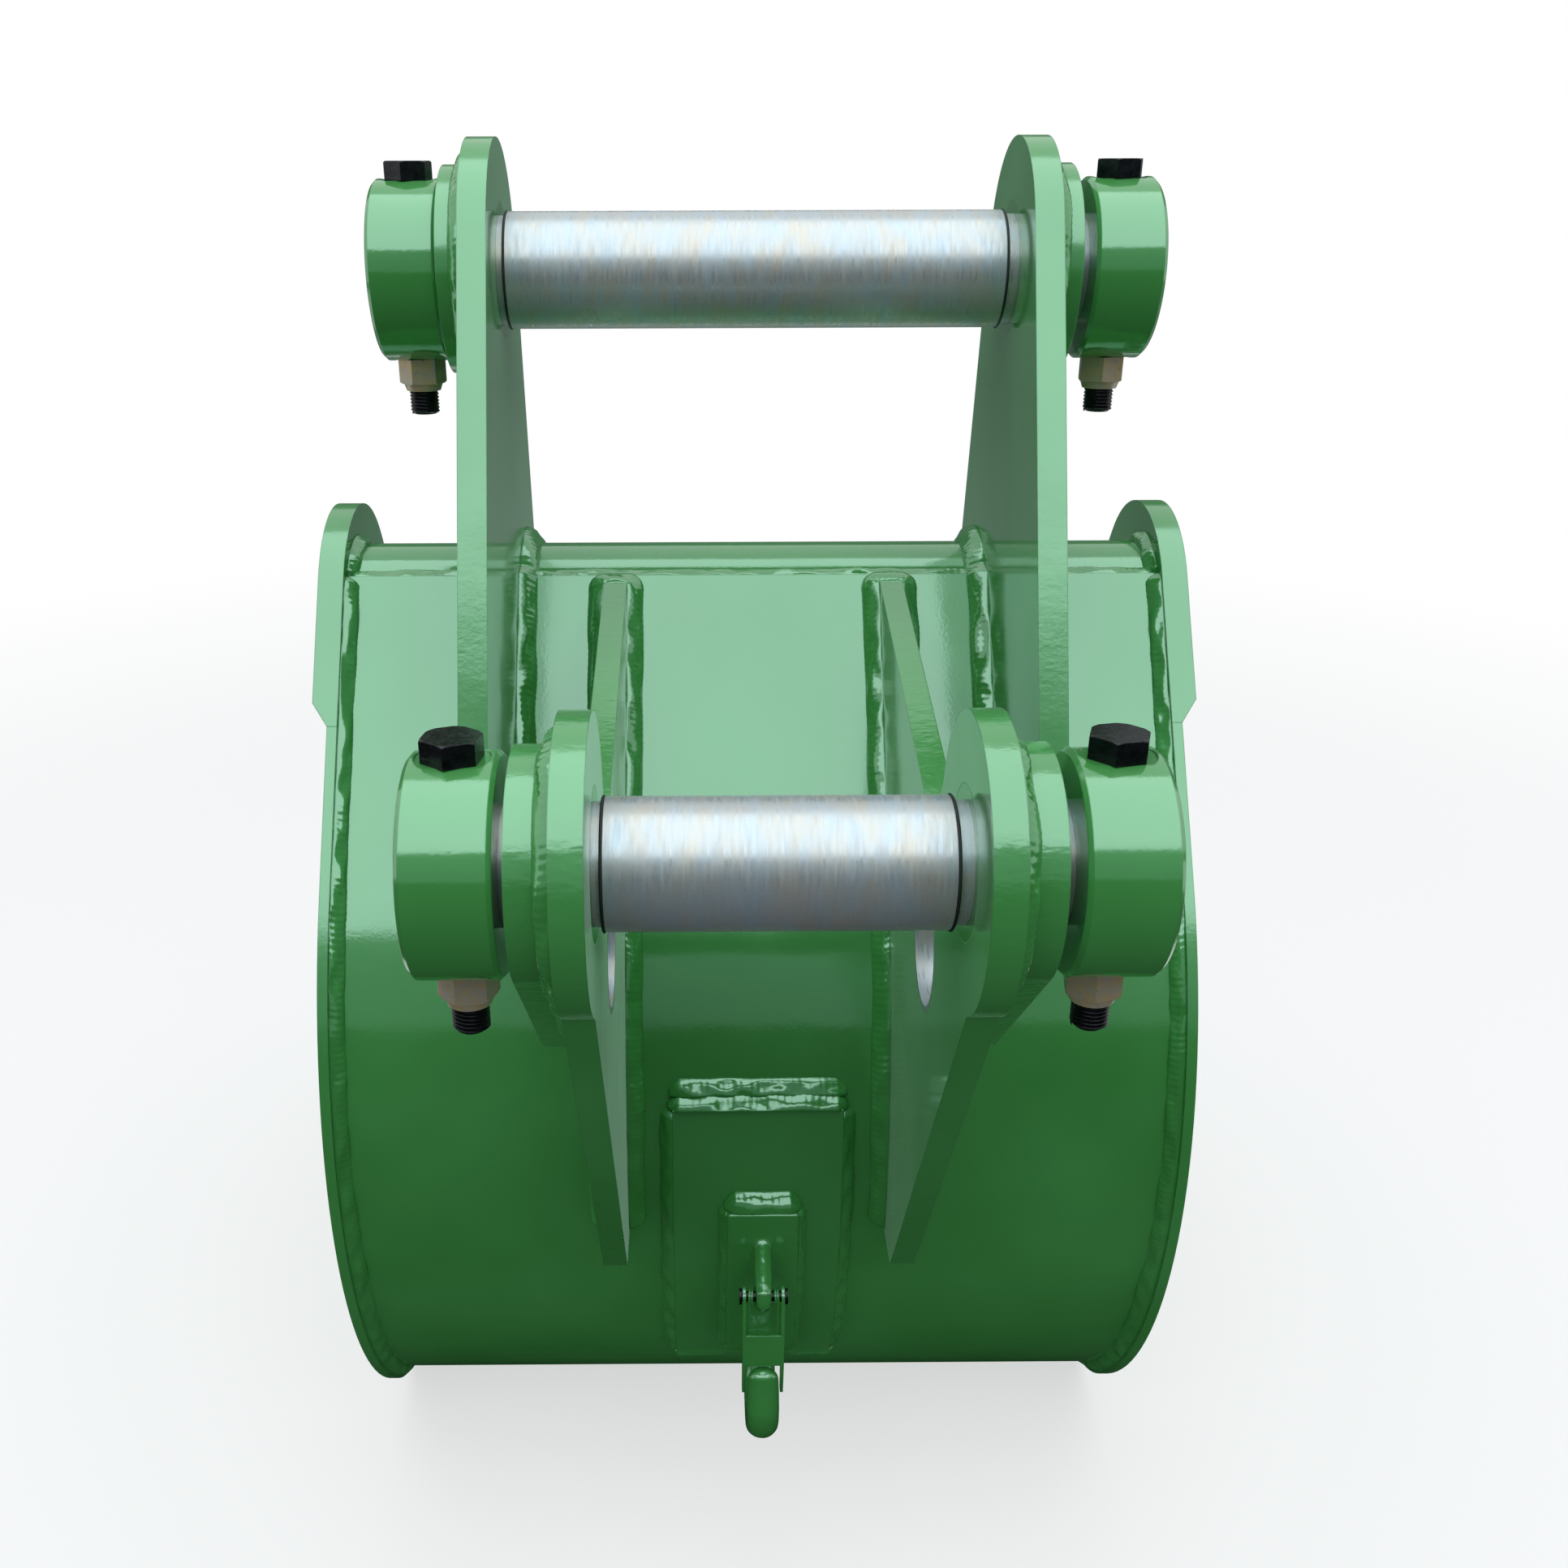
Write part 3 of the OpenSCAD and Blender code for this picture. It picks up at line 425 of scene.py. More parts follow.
# %% Nitrile rubber
rubber, tree, shader = new_finish("nitrile rubber")
tree.links.new(two_tone(tree, speckle(tree, 8), "#101112", "#1d1e20"), shader.inputs["Base Color"])
shader.inputs["Roughness"].default_value = 0.62
tree.links.new(relief(tree, speckle(tree, 0.9, 3.0), 0.03), shader.inputs["Normal"])
print("made:", rubber.name)

# %% [markdown]
# The record names a finish for every solid. Where the real plates differ by how they were cut
# or turned, the green ones get their own kind of enamel, chosen by the solid's name. This
# could be one enamel with a mask, but a kind for each keeps the trees small.

# %% Give every solid its finish
FINISH = {"green_enamel": gloss_enamel, "ground_steel": steel, "black_steel": black, "zinc_plated": zinc,
          "rubber_ring": rubber}
SLOT = {row["node"]: row["material_slot"] for row in frame["record"]["subparts"]}
CUT_PLATES = ("side_bar", "side_plate", "heel_pad", "dipper_boss")
for name, obj in NODE.items():
    chosen = FINISH[SLOT[name]]
    if name.startswith(CUT_PLATES):
        chosen = cut_enamel
    if name.startswith("dipper_ear"):
        chosen = ear_enamel
    if name.startswith(("link_ear", "link_doubler")):
        chosen = rough_enamel
    if name.startswith(("dipper_bush", "link_bush")):
        chosen = gloss_enamel
    if "collar" in name:
        chosen = turned_enamel
    for number in range(len(obj.material_slots)):
        obj.material_slots[number].material = chosen
print("finished solids:", len(NODE))

# %% [markdown]
# Weld beads hold the bucket together, and they are what the eye reads as a real one. A bead
# is a fillet of metal that a welder lays in the corner of two plates, with ripples where the
# pool froze again and again. Each is modelled here as a real body: a rounded three sided
# profile is carried along the corner, its size wanders a little, its back swells every few
# millimetres, and its ends run out. A curve with a bevel could draw a smooth rod, but not the
# ripples and the uneven toes, so the rings of points are made one by one.

# %% One function joins rings of points into a closed body
def body_of_rings(name, rings, closed, rides_on, material):
    """A smooth closed mesh through rings of the same number of points, capped where it ends."""
    size = len(rings[0])
    points = [p for ring in rings for p in ring]
    spans = len(rings) if closed else len(rings) - 1
    faces = []
    for i in range(spans):
        a, b = i * size, (i + 1) % len(rings) * size
        faces += [(a + j, a + (j + 1) % size, b + (j + 1) % size, b + j) for j in range(size)]
    if not closed:
        faces += [tuple(range(size - 1, -1, -1)), tuple(range((len(rings) - 1) * size, len(rings) * size))]
    mesh = bpy.data.meshes.new(name)
    mesh.from_pydata(points, [], faces)
    mesh.validate()
    made = bpy.data.objects.new(name, mesh)
    scene.collection.objects.link(made)
    volume = sum(mesh.vertices[f.vertices[0]].co.dot(f.normal) * f.area for f in mesh.polygons)
    if volume < 0:
        mesh.flip_normals()
    for face in mesh.polygons:
        face.use_smooth = True
    mesh.materials.append(material)
    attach(made, rides_on)
    return made


print("rings of points become a body, one ring after the other")

# %% [markdown]
# All lengths of the beads are in metres, and what changes along them has its rate per metre.
# Ripples lag behind in the toes, which freeze first. The pair of legs of each bead is how far
# it reaches along the two surfaces of its corner; they were read from the photograph where it
# shows the bead, and follow the plates' thickness elsewhere.

# %% Sizes of the beads
RIPPLE, RIPPLE_HIGH, RIPPLE_IN_TOE, TOE_LAG = 0.0052, 0.00017, 0.006, 0.55
PHASE_DRIFT, PHASE_RATE = 1.3, 60
LUMP_HIGH, LUMP_RATE, LUMPS_ROUND = 0.0020, 55, 2.2
WANDER, WANDER_RATE = 0.10, 30
RUN_OUT = 0.7
BULGE = 1.35
ROOT_SUNK, TOE_SUNK = 0.0006, 0.0007
STEP = 0.0013
ARC_POINTS = 8
LEGS = {"side_seam": (0.0105, 0.0085), "inner_seam": (0.006, 0.006), "tube_ring": (0.0085, 0.0085),
        "tube_seam": (0.0085, 0.0072), "dipper_ear": (0.0145, 0.0135), "link_ear": (0.0130, 0.0125),
        "doubler": (0.0095, 0.0095), "boss": (0.009, 0.009), "second_pass": (0.0125, 0.0058),
        "edge_top": (0.010, 0.0058), "edge_bottom": (0.012, 0.0095), "bar_on_edge": (0.008, 0.008),
        "bar_to_plate": (0.0085, 0.0085), "adapter": (0.008, 0.008), "adapter_back": (0.009, 0.009)}
print("widest bead in mm:", round(1000 * max(max(legs) for legs in LEGS.values()), 1))

# %% A bead along a corner
bead_length = 0.0


def bead(name, roots, leg_a, leg_b, closed=False):
    """A weld along roots, a list of (corner, way along surface a, way along surface b).

    The seed is taken from its name and length, so each bead has its own ripples in every run.
    """
    global bead_length
    if closed:
        roots = roots + roots[:1]
    path = [Vector(r[0]) for r in roots]
    crest = [Vector(r[0]) + 0.5 * leg_a * Vector(r[1]) + 0.5 * leg_b * Vector(r[2]) for r in roots]
    along = [0.0]
    for p, q in zip(crest, crest[1:]):
        along.append(along[-1] + (q - p).length)
    total = along[-1]
    bead_length += total
    count = max(8, round(total / STEP))
    seed = Vector((7.3 * len(name), total * 31.0, sum(map(ord, name)) * 0.37))
    rings, k = [], 0
    for i in range(count):
        s = total * i / (count if closed else count - 1)
        while k < len(along) - 2 and s > along[k + 1]:
            k += 1
        t = (s - along[k]) / max(along[k + 1] - along[k], 1e-9)
        corner = path[k].lerp(path[k + 1], t)
        way_a = Vector(roots[k][1]).lerp(Vector(roots[k + 1][1]), t).normalized()
        way_b = Vector(roots[k][2]).lerp(Vector(roots[k + 1][2]), t).normalized()
        run_out = 1.0 if closed else min(1.0, math.sqrt((min(s, total - s) + ROOT_SUNK) / (RUN_OUT * leg_a)))
        ring = [corner - ROOT_SUNK * (way_a + way_b)]
        for j in range(ARC_POINTS):
            u = j / (ARC_POINTS - 1)
            lag = RIPPLE * TOE_LAG * (2 * u - 1) ** 2
            drift = PHASE_DRIFT * noise.noise(seed + Vector((s * PHASE_RATE, 0, 0)))
            ripple = math.cos(2 * math.pi * (s + lag) / RIPPLE + drift)
            swell = 0.5 + 0.5 * noise.noise(seed + Vector((s * WANDER_RATE, 8, 2)))
            wander_a = 1 + WANDER * noise.noise(seed + Vector((s * WANDER_RATE, 3, 0))) + RIPPLE_IN_TOE * ripple
            wander_b = 1 + WANDER * noise.noise(seed + Vector((s * WANDER_RATE, 0, 9))) + RIPPLE_IN_TOE * ripple
            lumps = LUMP_HIGH * noise.noise(seed + Vector((s * LUMP_RATE, u * LUMPS_ROUND, 5)))
            angle = u * math.pi / 2
            reach_a = leg_a * wander_a * run_out * math.cos(angle) ** BULGE
            reach_b = leg_b * wander_b * run_out * math.sin(angle) ** BULGE
            crown = (RIPPLE_HIGH * swell * ripple + lumps) * math.sin(2 * angle) * run_out
            sink_a = TOE_SUNK * (1 - math.sin(angle)) ** 2
            sink_b = TOE_SUNK * (1 - math.cos(angle)) ** 2
            ring.append(corner + way_a * (reach_a + crown - sink_b) + way_b * (reach_b + crown - sink_a))
        rings.append(ring)
    return body_of_rings(name, rings, closed, "bucket", gloss_enamel)


print("ripples every", RIPPLE * 1000, "mm")

# %% [markdown]
# The corners to be welded follow the side view of the bucket: a straight back wall, two round
# stretches of the heel and the flat bottom. skin() walks down that line on the outer face of
# the wrapper and gives the place and the way out of the plate. The numbers are the ones the
# solids were made from, in metres.

# %% The side view of the wrapper
WALL_ANGLE = 54.8
WALL_RUN = 0.260
UPPER_C, UPPER_R = Vector((-0.4270, 0.3426)), 0.384
LOWER_C, LOWER_R = Vector((-0.560, 0.200)), 0.189
UPPER_FROM, UPPER_TO, LOWER_TO = 144.8, 227.0, 270.0
PLATE = 0.008
INNER_X = 0.3225


def polar(centre, radius, degrees):
    """A point of the side view, (y, z), at an angle from +Y towards +Z."""
    turn_by = math.radians(degrees)
    return Vector(centre) + radius * Vector((math.cos(turn_by), math.sin(turn_by)))


UPPER_RUN = UPPER_R * math.radians(UPPER_TO - UPPER_FROM)
LOWER_RUN = LOWER_R * math.radians(LOWER_TO - UPPER_TO)
EDGE_BACK = -0.0558
SKIN_END = WALL_RUN + UPPER_RUN + LOWER_RUN + (EDGE_BACK - LOWER_C.x)


def skin(s, depth=0.0):
    """Place and outward way, each (y, z), at s metres below the wrapper's upper end.

    depth is how far inside the outer face the place lies.
    """
    if s < WALL_RUN:
        out = polar((0, 0), 1, UPPER_FROM)
        start = polar(UPPER_C, UPPER_R, UPPER_FROM)
        place = start + (WALL_RUN - s) * polar((0, 0), 1, WALL_ANGLE)
    elif s < WALL_RUN + UPPER_RUN:
        angle = UPPER_FROM + math.degrees((s - WALL_RUN) / UPPER_R)
        out, place = polar((0, 0), 1, angle), polar(UPPER_C, UPPER_R, angle)
    elif s < WALL_RUN + UPPER_RUN + LOWER_RUN:
        angle = UPPER_TO + math.degrees((s - WALL_RUN - UPPER_RUN) / LOWER_R)
        out, place = polar((0, 0), 1, angle), polar(LOWER_C, LOWER_R, angle)
    else:
        out = Vector((0, -1))
        place = Vector((LOWER_C.x + s - WALL_RUN - UPPER_RUN - LOWER_RUN, LOWER_C.y - LOWER_R))
    return place - depth * out, out


def at_x(x, yz):
    """A point or way of the side view at a distance x from the middle."""
    return Vector((x, yz[0], yz[1]))


ROOT_PITCH = 0.005


def steps(start, end, pitch=ROOT_PITCH):
    """Numbers from start to end, about pitch apart."""
    count = max(2, round(abs(end - start) / pitch) + 1)
    return [start + (end - start) * i / (count - 1) for i in range(count)]


print("length of the outer skin:", round(SKIN_END, 3), "m; top at", [round(c, 4) for c in skin(0)[0]])

# %% [markdown]
# The longest welds are the two side seams, where the wrapper ends a plate's thickness inside
# the side plates. Outside, the bead fills the step; inside, a smaller one runs in the corner.
# A bevel on the plates could fill these corners too, but it would look moulded, not welded.

# %% Side seams
SEAM_FROM, INNER_SEAM_FROM = 0.001, 0.03
for side in (-1, 1):
    tag = "right" if side > 0 else "left"
    inward = Vector((-side, 0, 0))
    roots = [(at_x(side * INNER_X, skin(s)[0]), inward, at_x(0, skin(s)[1]))
             for s in steps(SEAM_FROM, SKIN_END)]
    bead(f"weld_side_seam_{tag}", roots, *LEGS["side_seam"])
    roots = [(at_x(side * INNER_X, skin(s, PLATE)[0]), inward, at_x(0, -skin(s)[1]))
             for s in steps(INNER_SEAM_FROM, SKIN_END)]
    bead(f"weld_inner_seam_{tag}", roots, *LEGS["inner_seam"])
print("bead so far:", round(bead_length, 2), "m")

# %% [markdown]
# The cross tube stiffens the top of the bucket. A ring weld joins each end to a side bar, and
# one straight seam joins the wrapper's upper edge to the tube. It stops at the ears. A torus
# could be the ring, but the real one breaks off where the wrapper meets the tube, so its roots
# only go as far as that.

# %% Welds of the cross tube
TUBE_C, TUBE_R = Vector((-0.5418, 0.7331)), 0.05715
TUBE_SEAM, RING_END = 137.8, -185
EAR_X = {"dipper": (0.1845, 0.2045), "link": (0.0995, 0.1175)}


def on_tube(x, degrees, way):
    """A root on the tube's skin at distance x, with the bead's other leg along way."""
    return (at_x(x, polar(TUBE_C, TUBE_R, degrees)), way, at_x(0, polar((0, 0), 1, degrees)))


for side in (-1, 1):
    tag = "right" if side > 0 else "left"
    ring = [on_tube(side * INNER_X, a, Vector((-side, 0, 0))) for a in steps(TUBE_SEAM, RING_END, 5)]
    bead(f"weld_tube_ring_{tag}", ring, *LEGS["tube_ring"])

seam_y, seam_z = polar(TUBE_C, TUBE_R, TUBE_SEAM)
out_of_wall = at_x(0, polar((0, 0), 1, UPPER_FROM))
round_tube = at_x(0, polar((0, 0), 1, TUBE_SEAM - 90))
near_ear, past_ear = EAR_X["dipper"]
stretches = {"left": (-INNER_X, -past_ear), "middle": (-near_ear, near_ear), "right": (past_ear, INNER_X)}
for tag, (x0, x1) in stretches.items():
    line = [(Vector((x, seam_y, seam_z)), round_tube, out_of_wall) for x in steps(x0, x1)]
    bead(f"weld_tube_seam_{tag}", line, *LEGS["tube_seam"])
print("bead so far:", round(bead_length, 2), "m")

# %% [markdown]
# Each ear stands on the wrapper on both faces: a fillet runs up the wall along its foot. The
# two outer ears carry the arm, so their welds go on round the tube to its front. The inner
# ears end just below the tube, and one bead goes up one face, over the end and down the other.
# At a corner the root stands still and only the bead's way along the wall turns.

# %% Welds of the four ears
OUTER_FOOT, OUTER_TOP = 0.281, 0.002
OUTER_FRONT = -36.6
INNER_TOP = 0.0115
INNER_FOOT_ANGLE = 184.72
INNER_FOOT = WALL_RUN + UPPER_R * math.radians(INNER_FOOT_ANGLE - UPPER_FROM)
for side in (-1, 1):
    tag = "right" if side > 0 else "left"
    for face, x in zip(("inner", "outer"), EAR_X["dipper"]):
        away = Vector((side * (1 if face == "outer" else -1), 0, 0))
        roots = [(at_x(side * x, skin(s)[0]), away, at_x(0, skin(s)[1])) for s in steps(OUTER_FOOT, OUTER_TOP)]
        roots += [on_tube(side * x, a, away) for a in steps(TUBE_SEAM - 5, OUTER_FRONT, 5)]
        bead(f"weld_dipper_ear_{tag}_{face}", roots, *LEGS["dipper_ear"])
    near_x, far_x = (side * x for x in EAR_X["link"])
    away = Vector((side, 0, 0))
    up_wall = at_x(0, polar((0, 0), 1, WALL_ANGLE))
    top_place, top_out = skin(INNER_TOP)
    roots = [(at_x(far_x, skin(s)[0]), away, at_x(0, skin(s)[1])) for s in steps(INNER_FOOT, INNER_TOP)]
    for x, first, last in ((far_x, 0, 90), (near_x, 90, 180)):
        roots += [(at_x(x, top_place), math.cos(math.radians(a)) * away + math.sin(math.radians(a)) * up_wall,
                   at_x(0, top_out)) for a in steps(first, last, 10)]
    roots += [(at_x(near_x, skin(s)[0]), -away, at_x(0, skin(s)[1])) for s in steps(INNER_TOP, INNER_FOOT)]
    bead(f"weld_link_ear_{tag}", roots, *LEGS["link_ear"])
print("bead so far:", round(bead_length, 2), "m")

# %% [markdown]
# The doublers are teardrop plates that thicken the inner ears round the pin, and the bosses
# do the same on the outer ears. A bead runs all the way round each one. Its roots follow the
# outline that the plate was drawn from, which is more even than the edges of the mesh, and the
# last joins the first, so that no start shows.

# %% Welds of the doublers and bosses
LINK_C, DIPPER_C = Vector((-1.044, 0.7295)), Vector((-0.603, 1.0045))
DOUBLER_R, DOUBLER_LEN, DOUBLER_ANGLE, DOUBLER_TIP = 0.065, 0.176, 61.0, 0.022
BOSS_R = 0.071
SHORTEST_EDGE = 0.004
lean = math.degrees(math.asin((DOUBLER_R - DOUBLER_TIP / 2) / DOUBLER_LEN))
run_angle = -DOUBLER_ANGLE
for side in (-1, 1):
    tag = "right" if side > 0 else "left"
    face_x = side * EAR_X["link"][1]
    off = Vector((side, 0, 0))
    outline = []
    for a in steps(run_angle + 90 - lean, run_angle + 270 + lean, 4):
        outline.append((polar(LINK_C, DOUBLER_R, a), polar((0, 0), 1, a)))
    tip = polar(LINK_C, DOUBLER_LEN, run_angle)
    for edge in (-1, 1):
        way = polar((0, 0), 1, run_angle + edge * (90 - lean))
        corner = tip + edge * DOUBLER_TIP / 2 * polar((0, 0), 1, run_angle + 90)
        outline.append((corner, way))
    roots = []
    ends = outline + outline[:1]
    for (p, out), (q, out_q) in zip(ends, ends[1:]):
        for t in steps(0.0, 1.0, ROOT_PITCH / max((q - p).length, SHORTEST_EDGE))[:-1]:
            roots.append((at_x(face_x, p.lerp(q, t)), at_x(0, out.lerp(out_q, t)), off))
    bead(f"weld_doubler_{tag}", roots, *LEGS["doubler"], closed=True)
    ring = [(at_x(side * EAR_X["dipper"][1], polar(DIPPER_C, BOSS_R, a)), at_x(0, polar((0, 0), 1, a)), off)
            for a in range(0, 360, 4)]
    bead(f"weld_boss_{tag}", ring, *LEGS["boss"], closed=True)
print("bead so far:", round(bead_length, 2), "m")

# %% [markdown]
# On the heel sits a pad that carries the lifting hook. The weld over the pad's top edge is the
# heaviest one to be seen and was laid in two passes, so two bright lines run along it; those
# down its sides and round the hook's foot are smaller. Pad and foot are framed by one function,
# because only their sizes differ.

# %% Welds of the pad and the hook's foot
PAD_R, PAD_X, PAD_HIGH, PAD_LOW = 0.394, 0.065, 168.7, 210.0
FOOT_R, FOOT_X, FOOT_HIGH, FOOT_LOW = 0.406, 0.028, 180.67, 205.0
HOOK_X = 0.004
PASS_OFFSET, PASS_PAST = 0.0095, 0.003
PAST_CORNER, SIDE_RISE, FRAME_PITCH = 0.4, 0.8, 0.8
PAD_LEGS = (0.0125, 0.010, 0.009, 0.0118)
FOOT_LEGS = (0.014, 0.006, 0.008, 0.011)


def framed(name, mid_x, half_x, r_low, high, low, legs):
    """Four beads round a plate that lies on the heel, at radius r_low, between two angles.

    legs are the top, side and lower leg along the heel, and the one up the plate's edge.
    """
    top_leg, side_leg, low_leg, rise = legs
    past = PAST_CORNER * side_leg
    for tag, angle, leg, sign in (("top", high, top_leg, -1), ("low", low, low_leg, 1)):
        corner, out = polar(UPPER_C, r_low, angle), polar((0, 0), 1, angle)
        down = polar((0, 0), 1, angle + 90 * sign)
        line = [(at_x(x, corner), at_x(0, down), at_x(0, out))
                for x in steps(mid_x - half_x - past, mid_x + half_x + past)]
        bead(f"{name}_{tag}", line, leg, rise)
    for sign, tag in ((-1, "left"), (1, "right")):
        line = [(at_x(mid_x + sign * half_x, polar(UPPER_C, r_low, a)), Vector((sign, 0, 0)),
                 at_x(0, polar((0, 0), 1, a))) for a in steps(high, low, FRAME_PITCH)]
        bead(f"{name}_{tag}", line, side_leg, rise * SIDE_RISE)


framed("weld_pad", 0.0, PAD_X, UPPER_R, PAD_HIGH, PAD_LOW, PAD_LEGS)
PASS_UP = PAD_HIGH - math.degrees(PASS_OFFSET / UPPER_R)
second = [(at_x(x, polar(UPPER_C, UPPER_R, PASS_UP)), at_x(0, polar((0, 0), 1, PASS_UP - 90)),
           at_x(0, polar((0, 0), 1, PASS_UP))) for x in steps(-PAD_X - PASS_PAST, PAD_X + PASS_PAST)]
bead("weld_pad_second_pass", second, *LEGS["second_pass"])
framed("weld_hook_foot", HOOK_X, FOOT_X, PAD_R, FOOT_HIGH, FOOT_LOW, FOOT_LEGS)
print("bead so far:", round(bead_length, 2), "m")

# %% [markdown]
# The hook is a drop forging: no edge on it is sharp, and every bar of it has an oval section.
# The solid has the right outline with square edges. A copy of it is rebuilt on a fine grid,
# and each of its points is moved as if the square section were pressed into an oval one: the
# grid asks how deep a point lies under the outline and how far from the middle, and pulls the
# corners in. Nothing leaves the solid, so the latch keeps its room. The foot stays square.

# %% Forged hook
HOOK_GRID, HALF_BOW = 0.0011, 0.0115
LUMPS, LUMP_WIDE = 0.0006, 0.006
JUST_INSIDE, FADE_IN = 0.0005, 0.004
SIDE_FACING = 0.5


def mesh_after(made):
    """The mesh of a piece with its modifiers worked in."""
    final = bpy.data.meshes.new_from_object(made.evaluated_get(bpy.context.evaluated_depsgraph_get()))
    made.modifiers.clear()
    return final


def forged(name, node, grid, half_bar, square_within, rides_on):
    """A copy of a CAD node with oval bars that stands for it.

    Within the radius square_within of the heel's centre it stays square.
    """
    solid = NODE[node].data
    spots = [v.co for v in solid.vertices]
    shell = BVHTree.FromPolygons(spots, [f.vertices for f in solid.polygons])
    outline = BVHTree.FromPolygons(spots, [f.vertices for f in solid.polygons
                                           if abs(f.normal.x) < SIDE_FACING])
    made = bpy.data.objects.new(name, solid.copy())
    scene.collection.objects.link(made)
    rebuilt = made.modifiers.new("grid", "REMESH")
    rebuilt.mode = "VOXEL"
    rebuilt.voxel_size = grid
    made.data = mesh_after(made)
    for v in made.data.vertices:
        near, way, _, _ = outline.find_nearest(v.co)
        way = Vector((0, way.y, way.z)).normalized()
        inside = near - JUST_INSIDE * way
        side = math.copysign(1, v.co.x - HOOK_X)
        hit = shell.ray_cast(Vector((HOOK_X + side, inside.y, inside.z)), Vector((-side, 0, 0)))[0]
        if hit is None:
            continue
        wide = abs(hit.x - HOOK_X)
        deep = min(half_bar, wide)
        u = min(1.0, abs(v.co.x - HOOK_X) / wide)
        w = 1 - min((v.co - near).length, deep) / deep
        away = (Vector((v.co.y, v.co.z)) - UPPER_C).length - square_within
        press = min(1.0, max(0.0, away / FADE_IN)) * (1 - max(u, w, 0.001) / max(math.hypot(u, w), 0.001))
        v.co.x -= side * press * u * wide
        v.co -= press * w * deep * way
        v.co -= way * LUMPS * (0.5 + 0.5 * noise.noise(v.co / LUMP_WIDE))
    relaxed = made.modifiers.new("relax", "SMOOTH")
    relaxed.factor = 0.5
    relaxed.iterations = 24
    made.data = mesh_after(made)
    made.data.materials.clear()
    made.data.materials.append(gloss_enamel)
    for face in made.data.polygons:
        face.use_smooth = True
    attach(made, rides_on)
    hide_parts(node)
    return made


hook = forged("forged_hook", "hook_body", HOOK_GRID, HALF_BOW, FOOT_R, "bucket")
print("forged hook faces:", len(hook.data.polygons))

# %% [markdown]
# At the mouth, the thick cutting edge is welded to the thin bottom above and below, the side
# bars stand on it, and each bar meets its side plate in a long step on the outside. The tooth
# adapters are welded on the edge along both sides and across the back. The photograph doesn't
# show the mouth, so these beads have the sizes that such plates usually get.

# %% Welds at the mouth
EDGE_TOP, EDGE_FRONT, EDGE_BEVEL = 0.025, 0.1442, 0.036
BOTTOM_HIGH, BOTTOM_LOW = 0.019, 0.011
BAR_BACK, BAR_FRONT, PLATE_FACE = -0.0379, 0.104, 0.3305
across_edge = steps(-INNER_X, INNER_X)
back_way = Vector((0, -1, 0))
for tag, z, up in (("top", BOTTOM_HIGH, 1), ("bottom", BOTTOM_LOW, -1)):
    line = [(Vector((x, EDGE_BACK, z)), back_way, Vector((0, 0, up))) for x in across_edge]
    bead(f"weld_edge_{tag}", line, *LEGS[f"edge_{tag}"])
BAR_STEP = [Vector(p) for p in ((-0.6241, 0.6444), (-0.5211, 0.6901), (BAR_BACK, EDGE_TOP))]
for side in (-1, 1):
    tag = "right" if side > 0 else "left"
    line = [(Vector((side * INNER_X, y, EDGE_TOP)), Vector((-side, 0, 0)), Vector((0, 0, 1)))
            for y in steps(BAR_BACK, BAR_FRONT)]
    bead(f"weld_bar_on_edge_{tag}", line, *LEGS["bar_on_edge"])
    roots = []
    for p, q in zip(BAR_STEP, BAR_STEP[1:]):
        run = (q - p).normalized()
        away = at_x(0, (run.y, -run.x))
        roots += [(at_x(side * PLATE_FACE, p.lerp(q, t)), away, Vector((side, 0, 0)))
                  for t in steps(0, 1, ROOT_PITCH / (q - p).length)]
    bead(f"weld_bar_to_plate_{tag}", roots, *LEGS["bar_to_plate"])

for number in range(1, 5):
    low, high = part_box(f"tooth_adapter_{number}")
    for tag, x, away in (("left", low.x, -1), ("right", high.x, 1)):
        line = [(Vector((x, y, EDGE_TOP)), Vector((away, 0, 0)), Vector((0, 0, 1)))
                for y in steps(low.y, EDGE_FRONT - EDGE_BEVEL)]
        bead(f"weld_adapter_{number}_{tag}", line, *LEGS["adapter"])
    line = [(Vector((x, low.y, EDGE_TOP)), back_way, Vector((0, 0, 1))) for x in steps(low.x, high.x)]
    bead(f"weld_adapter_{number}_back", line, *LEGS["adapter_back"])
print("all beads:", round(bead_length, 2), "m")

# %% [markdown]
# The collars are held by bolts of 20 mm with a coarse thread of 2.5 mm pitch. Below the lock
# nuts the threads stand out of the plain shank of the solid. A thread is one long ridge with
# a sharp crest that winds round the shank, so it is made as rings of a blunt triangle, turned
# a little further each time. A screw modifier could wind it too, but not fade it at its ends.

# %% Thread ends below the lock nuts
THREAD_PITCH, SHANK_R, CREST = 0.0025, 0.010, 0.0007
THREAD_HIGH, THREAD_LOW = -0.0837, -0.1000
IN_SHANK, HALF_ROOT, HALF_CREST = 0.0004, 0.0011, 0.0002
RINGS_A_TURN, FADE_RATE, THINNEST = 30, 12, 0.05


